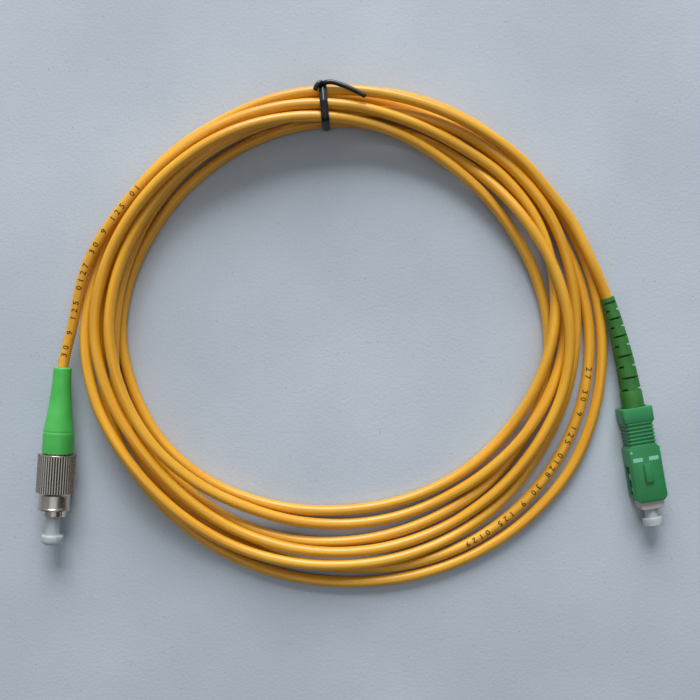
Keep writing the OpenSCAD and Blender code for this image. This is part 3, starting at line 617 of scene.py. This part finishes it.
innerFinishes = {
    "strength_yarn": yarnFinish, "buffered_fibre": bufferFinish, "crimp_sleeve": crimpFinish,
    "rear_body": nickelFinish, "spring": springFinish, "ferrule_flange": nickelFinish,
    "ferrule": ceramicFinish,
}
keptFinishes = {plug + part: finish for plug in ("fc_", "sc_") for part, finish in innerFinishes.items()}
# the cable end seen through the square boot's slots is painted dark as shade
keptFinishes.update({
    "fc_cable_end": jacketFinish, "sc_cable_end": paintedShadeJacketFinish, "fc_nut_clip": springFinish})
for name, finish in keptFinishes.items():
    paint(nodes[name], finish)
print("finishes made")


# round plug: boot

roundBoot = {
    "mouthRadius": 2.5, "swell": 1.8, "steps": 14, "taper": 18.0, "length": 24.5, "neckRadius": 4.2,
    "frontRadius": 4.3, "boreRadius": 1.55, "crimpRadius": 2.4, "crimpStart": 11.7, "rimRadius": 3.35,
    "rimStart": 19.95,
}


def makeRoundBoot():
    b = roundBoot
    taper = [(b["mouthRadius"] + (b["neckRadius"] - b["mouthRadius"]) * (k / b["steps"]) ** b["swell"],
              b["taper"] * k / b["steps"]) for k in range(1, b["steps"])]
    # a shallow crease parts the taper from the straight front
    bore, neck, front, rim, crimp = (b[k + "Radius"] for k in ("bore", "neck", "front", "rim", "crimp"))
    outline = ([(bore, 0), (b["mouthRadius"], 0)] + taper
               + [(neck, b["taper"]), (neck - 0.05, b["taper"] + 0.45), (front, b["taper"] + 0.75),
                  (front, b["length"]), (rim, b["length"]), (rim, b["rimStart"]), (crimp, b["rimStart"]),
                  (crimp, b["crimpStart"]), (bore, b["crimpStart"])])
    soft = [0.25, 0.45] + [0.5] * len(taper) + [0.3, 0.2, 0.2, 0.35, 0.1, 0.05, 0.05, 0.05, 0.05]
    piece = lathe("roundBoot", roundOff(outline, soft, 6), 96)
    finishPiece(smooth(place(piece, atRound), 28), "root", limeFinish, "boot_lime", "fc_boot")


makeRoundBoot()


# round plug: coupling nut, its knurl made of ridges set round the body

roundNut = {
    "start": 24.8, "wall": 1.6, "knurlLength": 11.0, "noseLength": 4.8, "knurlRadius": 5.3, "ridges": 44,
    "ridgeDepth": 0.36, "ridgeWidth": 0.34, "noseRadius": 4.6, "noseGroove": 0.28, "boreRadius": 3.6,
    "threadRadius": 4.0, "threadStart": 4.2, "pitch": 0.75, "journalRadius": 3.05,
}


def knurlTree(values):
    tree, given = growTree("knurlRidges", values)
    ring = addNode(tree, "GeometryNodeMeshCircle", {
        "Vertices": given["Ridge count"], "Radius": given["Root radius"]})
    ridge = addNode(tree, "GeometryNodeMeshCylinder", {
        "Vertices": 8, "Side Segments": 1, "Fill Segments": 1,
        "Radius": given["Ridge width"], "Depth": given["Ridge length"]})
    step = addNode(tree, "ShaderNodeMath", {"operation": "DIVIDE", 0: 2 * pi, 1: given["Ridge count"]})
    angle = addNode(tree, "ShaderNodeMath", {
        "operation": "MULTIPLY", 0: addNode(tree, "GeometryNodeInputIndex"), 1: step})
    turnBy = addNode(tree, "ShaderNodeCombineXYZ", {"Z": angle})
    spin = addNode(tree, "FunctionNodeEulerToRotation", {"Euler": turnBy})
    many = addNode(tree, "GeometryNodeInstanceOnPoints", {
        "Points": ring, "Instance": ridge, "Rotation": spin})
    lift = addNode(tree, "ShaderNodeCombineXYZ", {"Z": given["Start"]})
    shift = addNode(tree, "GeometryNodeTransform", {"Geometry": many, "Translation": lift})
    both = addNode(tree, "GeometryNodeJoinGeometry", {0: given["Geometry"]})
    tree.links.new(shift.outputs[0], both.inputs[0])
    return closeTree(tree, both, given)


def makeNut():
    n = roundNut
    start, wall, knurlEnd = n["start"], n["start"] + n["wall"], n["start"] + n["knurlLength"]
    end = knurlEnd + n["noseLength"]
    bore, thread, journal, nose, knurl = (
        n[k + "Radius"] for k in ("bore", "thread", "journal", "nose", "knurl"))
    root, thin = knurl - n["ridgeDepth"], nose - n["noseGroove"]
    grooves = []
    z = end - 0.5
    while z > start + n["threadStart"]:
        grooves += [(bore, z), (thread, z - n["pitch"] / 2)]
        z -= n["pitch"]
    outline = ([(journal, start), (root - 0.3, start), (root, start + 0.3), (root, knurlEnd - 0.3),
                (root - 0.25, knurlEnd), (nose, knurlEnd), (thin, knurlEnd + 0.5), (thin, end - 0.9),
                (nose, end - 0.45), (nose - 0.08, end), (thread + 0.05, end)]
               + grooves + [(bore, z), (bore, wall), (journal, wall)])
    ridges = {
        "Ridge count": n["ridges"], "Root radius": knurl - n["ridgeWidth"], "Ridge width": n["ridgeWidth"],
        "Ridge length": n["knurlLength"] - 0.35, "Start": start + n["knurlLength"] / 2,
        "Finish": nickelFinish}
    body = runTree(lathe("couplingNut", roundOff(outline, 0.07, 2), 96), knurlTree(ridges), ridges)
    body = finishPiece(smooth(place(body, atRound), 50), "fc_nut", nickelFinish, "nickel", "fc_coupling_nut")
    # the low faces between the ridges take the darker finish: grime and painted shade
    body.data.materials.append(grooveGrimeAndShadeFinish)
    back = (atRound @ Matrix.Scale(mm, 4)).inverted()
    for face in body.data.polygons:
        p = back @ face.center
        low = bore + 1 < hypot(p.x, p.y) < root + 0.18
        if low and start + 0.15 < p.z < knurlEnd - 0.15:
            face.material_index = 1


makeNut()


# round plug: body with its front sleeve and key

roundBody = {
    "start": 22.45, "collar": 28.6, "collarLength": 1.6, "end": 42.5, "journalRadius": 3.0,
    "collarRadius": 3.45, "sleeveRadius": 2.8, "keyWidth": 2.0, "keyHeight": 0.6, "keyLength": 4.0,
    "keySeat": 0.3, "seatRadius": 2.5, "seatEnd": 25.4, "chamberRadius": 2.15, "shoulder": (37.05, 38.05),
    "fibreRadius": 1.55, "mouthRadius": 2.2,
}


def innerWall(b, start, end):
    # from the mouth in: the mouth, the shoulder that holds the ferrule, its chamber and the rear seat
    low, high = b["shoulder"]
    mouth, fibre, chamber, seat = (b[k + "Radius"] for k in ("mouth", "fibre", "chamber", "seat"))
    return [(mouth, end), (mouth, high), (fibre, high), (fibre, low), (chamber, low),
            (chamber, b["seatEnd"]), (seat, b["seatEnd"]), (seat, start)]


def makeRoundBody():
    b = roundBody
    start, end, collarEnd = b["start"], b["end"], b["collar"] + b["collarLength"]
    journal, collar, sleeve = (b[k + "Radius"] for k in ("journal", "collar", "sleeve"))
    outline = [(journal, start), (journal, b["collar"]), (collar, b["collar"]), (collar, collarEnd),
               (sleeve, collarEnd), (sleeve, end - 0.2), (sleeve - 0.15, end)]
    body = lathe("roundPlugBody", roundOff(outline + innerWall(b, start, end), 0.06, 2), 80)
    low, high = sleeve - b["keySeat"], sleeve + b["keyHeight"]
    with editing(body.data) as bm:
        key = bmesh.ops.create_cube(bm, size=1)["verts"]
        for v in key:
            v.co = Vector((v.co.x * b["keyWidth"], (low + high) / 2 + v.co.y * (high - low),
                           end - b["keyLength"] / 2 + v.co.z * b["keyLength"]))
        edges = list({e for v in key for e in v.link_edges})
        bmesh.ops.bevel(bm, geom=edges, offset=0.12, segments=2, affect="EDGES")
    finishPiece(smooth(place(body, atRound), 28), "root", nickelFinish, "nickel", "fc_front_body")


makeRoundBody()


# dust caps, with the bore that grips the ferrule

roundCap = {"tubeRadius": 1.95, "start": 39.85, "head": 47.7, "end": 50.7, "headRadius": 3.1, "floor": 46.9,
            "boreRadius": 1.3}
squareCap = {"tubeRadius": 1.85, "start": 24.85, "head": 31.9, "end": 34.2, "headRadius": 2.85, "floor": 31.8,
             "boreRadius": 1.3}


def makeCap(name, cap, matrix, body, node, domed):
    tube, head, bore = cap["tubeRadius"], cap["headRadius"], cap["boreRadius"]
    start, step, end = cap["start"], cap["head"], cap["end"]
    outline = [(bore, start), (tube - 0.15, start), (tube, start + 0.4), (tube, step)]
    soft = [0.05, 0.1, 0.3, 0.25]
    if domed:
        outline += [(head - 0.25, step), (head, step + 0.35), (head - 0.05, end - 0.9), (head - 0.9, end)]
        soft += [0.3, 0.4, 0.9, 1.1]
    else:
        outline += [(head, step), (head, end)]
        soft += [0.12, 0.22]
    outline += [(0, end), (0, cap["floor"]), (bore, cap["floor"])]
    piece = lathe(name, roundOff(outline, soft + [0, 0, 0.1], 5), 64)
    finishPiece(smooth(place(piece, matrix), 35), body, capFinish, "cap_clear", node)


makeCap("roundDustCap", roundCap, atRound, "fc_cap", "fc_dust_cap", True)
makeCap("squareDustCap", squareCap, atSquare, "sc_cap", "sc_dust_cap", False)
print("round plug made")


# square plug: boot, slotted in turn from the sides and from above and below, then bent

def slotTree(values):
    tree, given = growTree("bootSlots", values)
    start = addNode(tree, "ShaderNodeCombineXYZ", {"Z": given["First slot"]})
    row = addNode(tree, "GeometryNodeMeshLine", {
        "mode": "OFFSET", "Offset": (0, 0, 0), "Count": given["Slot count"], "Start Location": start})
    # slot k stands at k links, less what the links lose as they shorten towards the mouth;
    # every second one is cut from above and below, and the cutters shrink with the boot
    found = {**dict(given.items()), "index": addNode(tree, "GeometryNodeInputIndex")}
    for label, operation, a, b in (
            ("lost", "MULTIPLY", "index", "Link loss"), ("length", "SUBTRACT", "First link", "lost"),
            ("back", "MULTIPLY", "index", "length"), ("below", "MULTIPLY", "back", -1.0),
            ("odd", "MODULO", "index", 2.0), ("even", "LESS_THAN", "odd", 0.5),
            ("drop", "MULTIPLY", "index", "Radius step"), ("radius", "SUBTRACT", "Front radius", "drop")):
        found[label] = addNode(tree, "ShaderNodeMath", {
            "operation": operation, 0: found.get(a, a), 1: found.get(b, b)})
    shift = addNode(tree, "ShaderNodeCombineXYZ", {"Z": found["below"]})
    line = addNode(tree, "GeometryNodeSetPosition", {"Geometry": row, "Offset": shift})
    size = addNode(tree, "ShaderNodeCombineXYZ", {
        "X": found["radius"], "Y": found["radius"], "Z": given["Slot width"]})
    cutters = addNode(tree, "GeometryNodeJoinGeometry")
    for box, way, chosen in (((4, 2, 1), (0, 1.45, 0), "even"), ((2, 4, 1), (1.45, 0, 0), "odd")):
        pair = addNode(tree, "GeometryNodeJoinGeometry")
        for sign in (1, -1):
            cube = addNode(tree, "GeometryNodeMeshCube", {"Size": box})
            moved = addNode(tree, "GeometryNodeTransform", {
                "Geometry": cube, "Translation": [c * sign for c in way]})
            tree.links.new(moved.outputs[0], pair.inputs[0])
        many = addNode(tree, "GeometryNodeInstanceOnPoints", {
            "Points": line, "Selection": found[chosen], "Instance": pair, "Scale": size})
        tree.links.new(many.outputs[0], cutters.inputs[0])
    solid = addNode(tree, "GeometryNodeRealizeInstances", {"Geometry": cutters})
    slotted = addNode(tree, "GeometryNodeMeshBoolean", {
        "operation": "DIFFERENCE", "solver": "EXACT", "Mesh 1": given["Geometry"], "Mesh 2": solid})
    return closeTree(tree, slotted, given)


def makeSquareBoot():
    b = squareBoot
    front, bore, crimp, mouth = (b[k + "Radius"] for k in ("front", "bore", "crimp", "mouth"))
    start, rear = -b["straight"], -b["straight"] - b["bendLength"]
    link, rows, wide = b["bendLength"] / b["slots"], b["rows"], front - b["seam"]
    outer = [(front, b["front"]), (front, -1.2), (front, start + 0.4)]
    outer += [(wide + (mouth - wide) * k / rows, start - b["bendLength"] * k / rows) for k in range(rows + 1)]
    inner = [(bore, rear + b["bendLength"] * k / rows) for k in range(rows + 1)]
    inner += [(crimp, start + 0.2), (crimp, b["front"])]
    slots = {
        "Slot count": b["slots"], "First slot": start - b["slotStart"],
        "First link": link * (1 + b["linkGrowth"]), "Link loss": link * b["linkGrowth"] / b["slots"],
        "Slot width": b["slotWidth"], "Front radius": wide, "Radius step": (wide - mouth) / b["slots"],
        "Finish": bootFinish}
    piece = runTree(lathe("squareBoot", outer + inner, 48), slotTree(slots), slots)
    with editing(piece.data) as bm:
        for v in bm.verts:
            v.co.z, v.co.y = bendBack(v.co.z, v.co.y)
        bmesh.ops.remove_doubles(bm, verts=bm.verts, dist=0.01)
        bmesh.ops.dissolve_degenerate(bm, edges=bm.edges, dist=0.005)
    finishPiece(smooth(place(piece, atSquare), 28), "root", bootFinish, "boot_green", "sc_boot")


makeSquareBoot()


# square plug: grip, lofted from rounded rectangles, then cut

grip = {
    "width": 9.2, "waist": 0.65, "height": 7.4, "length": 27.0, "flare": 0.5, "collar": 4.3, "grooves": 6,
    "grooveStart": 5.2, "groovePitch": 1.05, "grooveDepth": 0.35, "bodyStart": 11.15, "corner": 0.8,
    "step": 12.0, "cavityWidth": 7.2, "rearWidth": 6.2, "cavityHeight": 5.5, "back": 3.2, "rearBore": 3.45,
    "windowHeight": 3.4, "windowStart": 16.6, "windowLength": 8.6, "frontCut": 1.3,
    "keyWidth": 2.1, "keyLength": 5.4, "keyHeight": 0.8, "keyStart": 16.0,
}


def roundedRect(w, h, r, steps=5):
    # x spans the height, y the width, because the plug lies on its side wall
    ring = []
    for cx, cy, start in ((1, 1, 0), (-1, 1, 90), (-1, -1, 180), (1, -1, 270)):
        for k in range(steps + 1):
            a = radians(start + 90 * k / steps)
            ring.append((cx * (h / 2 - r) + r * cos(a), cy * (w / 2 - r) + r * sin(a)))
    return ring


def loft(name, sections):
    # sections are (distance, outline) with the same number of points each
    points = [(x, y, z) for z, ring in sections for x, y in ring]
    return outward(meshPiece(name, points, ringFaces(len(sections), len(sections[0][1]))))


def boxPiece(name, low, high, bevel=0, segments=2):
    piece = meshPiece(name, [], [])
    with editing(piece.data) as bm:
        bmesh.ops.create_cube(bm, size=1)
        for v in bm.verts:
            v.co = Vector([(low[k] + high[k]) / 2 + v.co[k] * (high[k] - low[k]) for k in range(3)])
        if bevel:
            bmesh.ops.bevel(bm, geom=bm.edges[:], offset=bevel, segments=segments, affect="EDGES")
    return piece


def cut(piece, cutters, operation="DIFFERENCE"):
    for cutter in cutters:
        modifier = piece.modifiers.new("cut", "BOOLEAN")
        modifier.operation = operation
        modifier.solver = "EXACT"
        modifier.object = cutter
    settleMesh(piece)
    for cutter in cutters:
        bpy.data.objects.remove(cutter)


def makeGrip():
    g = grip
    w, h, r, end = g["width"], g["height"], g["corner"], g["length"]
    waist, flare = -g["waist"], g["flare"] - g["waist"]
    collar, body, half = g["collar"], g["bodyStart"], g["groovePitch"] / 4
    # each section: its distance, how far all four sides grow, and how far the two side walls do besides
    sections = [(0, -0.25, flare), (0.12, -0.08, flare), (0.3, 0, flare), (collar - 0.3, 0, flare),
                (collar - 0.1, -0.08, flare), (collar, -0.2, flare), (collar + 0.02, 0, waist)]
    # the ridges between the grooves have rounded crests
    crest = [(half + 0.2, 0), (half + 0.07, 0.05), (half, 0.16), (half - 0.03, g["grooveDepth"])]
    for k in range(g["grooves"]):
        mid = g["grooveStart"] + k * g["groovePitch"]
        sections += [(mid - offset, -depth, waist) for offset, depth in crest]
        sections += [(mid + offset, -depth, waist) for offset, depth in crest[::-1]]
    sections += [(body - 0.04, 0, waist), (body, 0, waist + 0.02), (body + g["waist"] - 0.08, 0, -0.07),
                 (body + g["waist"] + 0.1, 0, 0), (end - 0.35, 0, 0), (end - 0.12, -0.06, 0), (end, -0.22, 0)]
    piece = loft("squareGrip", [
        (z, roundedRect(w + 2 * grow + 2 * sides, h + 2 * grow, r + min(0, grow) * 0.5))
        for z, grow, sides in sections])
    tall = g["cavityHeight"] / 2
    wide, slim, gap = g["cavityWidth"] / 2, g["rearWidth"] / 2, g["windowHeight"] / 2
    bore, back = g["rearBore"], g["back"] + 0.1
    cavity = boxPiece("cavity", (-tall, -wide, g["step"]), (tall, wide, end + 1))
    narrow = boxPiece("cavityRear", (-tall, -slim, g["back"]), (tall, slim, g["step"] + 1))
    rear = lathe("rearBore", [(0, -1), (bore, -1), (bore, back), (0, back)], 64)
    windowEnd = g["windowStart"] + g["windowLength"]
    windows = boxPiece("windows", (-gap, -w, g["windowStart"]), (gap, w, windowEnd))
    corners = []
    for sign in (1, -1):
        # a block turned by 45 degrees takes the front corner off
        wedge = boxPiece("wedge", (-h, min(0, 6 * sign), 0), (h, max(0, 6 * sign), 6))
        wedge.data.transform(Matrix.Translation((0, sign * (w / 2 - g["frontCut"]), end))
                             @ Matrix.Rotation(radians(-45 * sign), 4, "X"))
        corners.append(wedge)
    cut(piece, [cavity, narrow, rear, windows] + corners)
    key = boxPiece("key", (-h / 2 - g["keyHeight"], -g["keyWidth"] / 2, g["keyStart"]),
                   (-h / 2 + 0.5, g["keyWidth"] / 2, g["keyStart"] + g["keyLength"]), 0.16, 2)
    cut(piece, [key], "UNION")
    softenEdges(piece, 0.1, 50)
    finishPiece(smooth(place(piece, atSquare), 30), "sc_grip", gripFinish, "grip_green", "sc_grip")


makeGrip()


# index marks on the grip's upper face: two bars and a dot, printed

marks = {"bars": [(-3.6, -0.9), (0.9, 3.6)], "barStart": 14.2, "barEnd": 15.3, "dot": (-3.8, 12.5, 0.35),
         "dotSides": 20, "lift": 0.015}


def makeMarks():
    top = -grip["height"] / 2 - marks["lift"]
    start, end = marks["barStart"], marks["barEnd"]
    shapes = [[(low, start), (high, start), (high, end), (low, end)] for low, high in marks["bars"]]
    across, along, r = marks["dot"]
    shapes.append([(across + r * x, along + r * y) for x, y in circle(marks["dotSides"])])
    points, faces = [], []
    for shape in shapes:
        base = len(points)
        points += [(top, y, z) for y, z in shape]
        faces.append(tuple(range(len(points) - 1, base - 1, -1)))
    piece = meshPiece("indexMarks", points, faces)
    finishPiece(place(piece, atSquare), "sc_grip", markFinish, "cap_clear")


makeMarks()


# square plug: inner frame with its latch shoulders

innerFrame = {
    "width": 7.0, "rearWidth": 6.0, "height": 5.3, "start": 6.05, "step": 13.8, "end": 29.3, "corner": 0.4,
    "frontCut": 0.6, "latchHeight": 0.7, "latchHalf": 1.4, "latch": (19.0, 20.4, 21.7), "stop": (23.2, 24.2),
    "root": 0.5, "seatRadius": 2.5, "seatEnd": 9, "chamberRadius": 2.15, "shoulder": (22.05, 23.05),
    "fibreRadius": 1.55, "mouthRadius": 2.2,
}


def makeInnerFrame():
    f = innerFrame
    w, h, r, trim = f["width"], f["height"], f["corner"], f["frontCut"]
    rear, step, front = f["start"], f["step"], f["end"]
    slim, tip = f["rearWidth"], w - 2 * trim
    piece = loft("innerFrame", [(z, roundedRect(wide, tall, corner)) for z, wide, tall, corner in (
        (rear, slim - 0.3, h - 0.3, r), (rear + 0.3, slim, h, r), (step - 0.01, slim, h, r),
        (step, w - 0.2, h, r), (step + 0.2, w, h, r), (front - trim, w, h, r),
        (front - 0.1, tip + 0.1, h, r), (front, tip, h - 0.2, r * 0.8))])
    half, inside, outside = f["latchHalf"], w / 2 - f["root"], w / 2 + f["latchHeight"]
    start, crest, end = f["latch"]
    shoulders = []
    for sign in (1, -1):
        outline = [(inside, start), (outside, start), (outside, crest), (w / 2, end), (inside, end)]
        points = [(x, sign * y, z) for x in (-half, half) for y, z in outline]
        shoulders.append(outward(meshPiece("shoulder", points, ringFaces(2, len(outline)))))
        low, high = sorted((sign * inside, sign * (w / 2 + f["latchHeight"] * 0.7)))
        shoulders.append(boxPiece("stop", (-half, low, f["stop"][0]), (half, high, f["stop"][1]), 0.1, 1))
    cut(piece, shoulders, "UNION")
    past = 1.7  # the bore's tool stands out at both ends
    wall = innerWall(f, rear - 1, front + past)
    cut(piece, [lathe("frameBore", [(0, rear - 1)] + wall[::-1] + [(0, front + past)], 48)])
    softenEdges(piece, 0.07, 40)
    piece = smooth(place(piece, atSquare), 30)
    finishPiece(piece, "root", frameFinish, "frame_ivory", "sc_plug_frame")


makeInnerFrame()
print("square plug made")


# twist tie: a flat band pulled round the loops, and its two ends

tie = {"width": 2.2, "thickness": 0.6, "gap": 0.3, "sides": 72, "knotSlope": 50, "endRadius": 0.68,
       "hook": (2.0, [(0.1, -0.15, 0.15), (-0.15, 0.1, 0.55), (-0.7, -0.35, 0.65), (-1, -1.05, 0.6)]),
       "tail": (12.2, [(-0.016, -0.025, 0.016), (0.098, 0.016, 0.082), (0.246, 0.016, 0.098),
                       (0.516, -0.074, 0.107), (0.779, -0.189, 0.107), (1, -0.311, 0.107)])}


def makeTie():
    clock = radians(coil["tieClock"])
    outwards = Vector((sin(clock), cos(clock), 0))
    acrossWay = Vector((cos(clock), -sin(clock), 0))
    middle = Vector((coil["middle"][0], coil["middle"][1], 0))
    held = []
    for p, q in zip(route[:-1], route[1:]):
        a, b = Vector(p) - middle, Vector(q) - middle
        da, db = a.dot(acrossWay), b.dot(acrossWay)
        if da * db <= 0 and a.dot(outwards) > 0 and da != db:
            hit = a.lerp(b, da / (da - db))
            held.append((hit.dot(outwards), max(hit.z, coil["cable"] / 2 + coil["tieLift"])))

    def hug(far, way):
        best = max(held, key=lambda v: v[0] * way[0] + v[1] * way[1])
        return best[0] + way[0] * far, best[1] + way[1] * far

    inner = coil["cable"] / 2 + tie["gap"]
    half, thick = tie["width"] / 2, tie["thickness"]
    # half of the band's own section, from its inside out: thin edges and a fuller middle where the wire runs
    section = [(0.45, 0.02), (half - 0.12, 0.02), (half, 0.12), (half, 0.3), (half - 0.15, 0.4), (0.5, 0.42),
               (0.28, thick)]
    section += [(-across, far) for across, far in section[::-1]]
    points = []
    for way in circle(tie["sides"]):
        for across, far in section:
            reach, z = hug(inner + far, way)
            p = middle + outwards * reach + acrossWay * across
            points.append((p.x, p.y, z))
    band = outward(meshPiece("twistTie", points, ringFaces(tie["sides"], len(section), True)), 1e-5)
    slope = radians(tie["knotSlope"])
    reach, z = hug(inner + thick / 2, (cos(slope), sin(slope)))
    knot = middle + outwards * reach
    knot.z = z
    with editing(band.data) as bm:
        for name in ("hook", "tail"):
            length, steps = tie[name]
            path, along = curveThrough([knot + Vector(p) * length for p in steps], 0.35)
            radii = np.full(len(path), tie["endRadius"])
            radii[0], radii[-1] = 0.35, 0.45
            part = tube("tieEnd", path, along, radii, 14)
            bm.from_mesh(part.data)
            bpy.data.objects.remove(part)
    band.data.transform(Matrix.Scale(mm, 4))
    finishPiece(smooth(band, 40), "root", tieFinish, "tie_black", "twist_tie")


makeTie()
print("tie made")


# table, lamps and surroundings

table = {"size": 2400, "colour": "#B9C1C6", "tints": (60.0, "#B2BAC0", "#BFC7CC", 6.0),
         "relief": (0.9, 0.07, (1, 1, 1), 4.0), "fleckMm": 1.7, "fleckColour": "#70757B"}
tableFinish = newFinish("paintedTable", table["colour"], 0.78, table["tints"], table["relief"],
                        sockets={"Specular IOR Level": 0.3})
tree = tableFinish.node_tree
baseColour = tree.nodes["Principled BSDF"].inputs["Base Color"]
coords = addNode(tree, "ShaderNodeTexCoord").outputs["Object"]
# dark flecks in the paint, drawn a little coarser than real ones so that they show
flecks = addNode(tree, "ShaderNodeTexVoronoi", {
    "Scale": 1000 / table["fleckMm"], "Randomness": 1.0, "Vector": coords})
dots = addNode(tree, "ShaderNodeMapRange", {
    "From Min": 0.06, "From Max": 0.13, "To Min": 1.0, "To Max": 0.0, "Value": flecks.outputs["Distance"]})
patches = addNode(tree, "ShaderNodeTexNoise", {"Scale": 300.0, "Detail": 1.0, "Vector": coords})
seldom = addNode(tree, "ShaderNodeMapRange", {
    "From Min": 0.5, "From Max": 0.62, "To Min": 0.0, "To Max": 0.55, "Value": patches})
amount = addNode(tree, "ShaderNodeMath", {"operation": "MULTIPLY", 0: dots, 1: seldom})
fleck = addNode(tree, "ShaderNodeMix", {
    "data_type": "RGBA", "Factor": amount, 6: baseColour.links[0].from_socket,
    7: linear(table["fleckColour"])})
tree.links.new(fleck.outputs[2], baseColour)
half = table["size"] / 2 * mm
corners = [(-half, -half, 0), (half, -half, 0), (half, half, 0), (-half, half, 0)]
floor = meshPiece("table", corners, [(0, 1, 2, 3)])
floor.data.materials.append(tableFinish)

lamps = {
    "window": {"at": (-0.08, 1.35, 0.7), "size": 0.95, "power": 33.0, "colour": "#F6F8FF"},
    "fill": {"at": (0.1, -0.3, 0.95), "size": 0.9, "power": 1.4, "colour": "#EEF4FF"},
}
for name, lamp in lamps.items():
    data = bpy.data.lights.new(name, "AREA")
    data.size = lamp["size"]
    data.energy = lamp["power"]
    data.color = linear(lamp["colour"])[:3]
    light = addObject(name, data)
    light.location = lamp["at"]
    light.rotation_euler = (-Vector(lamp["at"])).to_track_quat("-Z", "Y").to_euler()

# brighter towards the window and overhead, warm and dim on the near side, so that the plating has contrast
room = {"windowWay": (-0.22, 0.88, 0.42), "strength": 0.42, "wall": "#A9B0B6", "stops": [
    (0, "#57524B"), (0.3, "#4E4943"), (0.52, "#8F8C88"), (0.62, "#E9F0FA"), (1, "#D7DFEA")]}
scene.world = world = bpy.data.worlds.new("room")
world.use_nodes = True
sky = world.node_tree
side = addNode(sky, "ShaderNodeVectorMath", {
    "operation": "DOT_PRODUCT", 0: addNode(sky, "ShaderNodeTexCoord"), 1: room["windowWay"]})
share = addNode(sky, "ShaderNodeMapRange", {
    "From Min": -1.0, "From Max": 1.0, "Value": side.outputs["Value"]})
shade = addNode(sky, "ShaderNodeValToRGB", {"Fac": share})
stops = shade.color_ramp.elements
for at, colour in room["stops"][1:-1]:
    stops.new(at)
for stop, (at, colour) in zip(stops, room["stops"]):
    stop.color = linear(colour)
around = sky.nodes["Background"]
around.inputs["Strength"].default_value = room["strength"]
sky.links.new(shade.outputs["Color"], around.inputs["Color"])
# past the table's edge the camera sees a pale wall
wall = addNode(sky, "ShaderNodeBackground", {"Color": linear(room["wall"]), "Strength": 1.0})
seen = addNode(sky, "ShaderNodeMixShader", {
    0: addNode(sky, "ShaderNodeLightPath").outputs["Is Camera Ray"], 1: around, 2: wall})
sky.links.new(seen.outputs["Shader"], sky.nodes["World Output"].inputs["Surface"])
scene.view_settings.view_transform = "Standard"

print("scene ready")
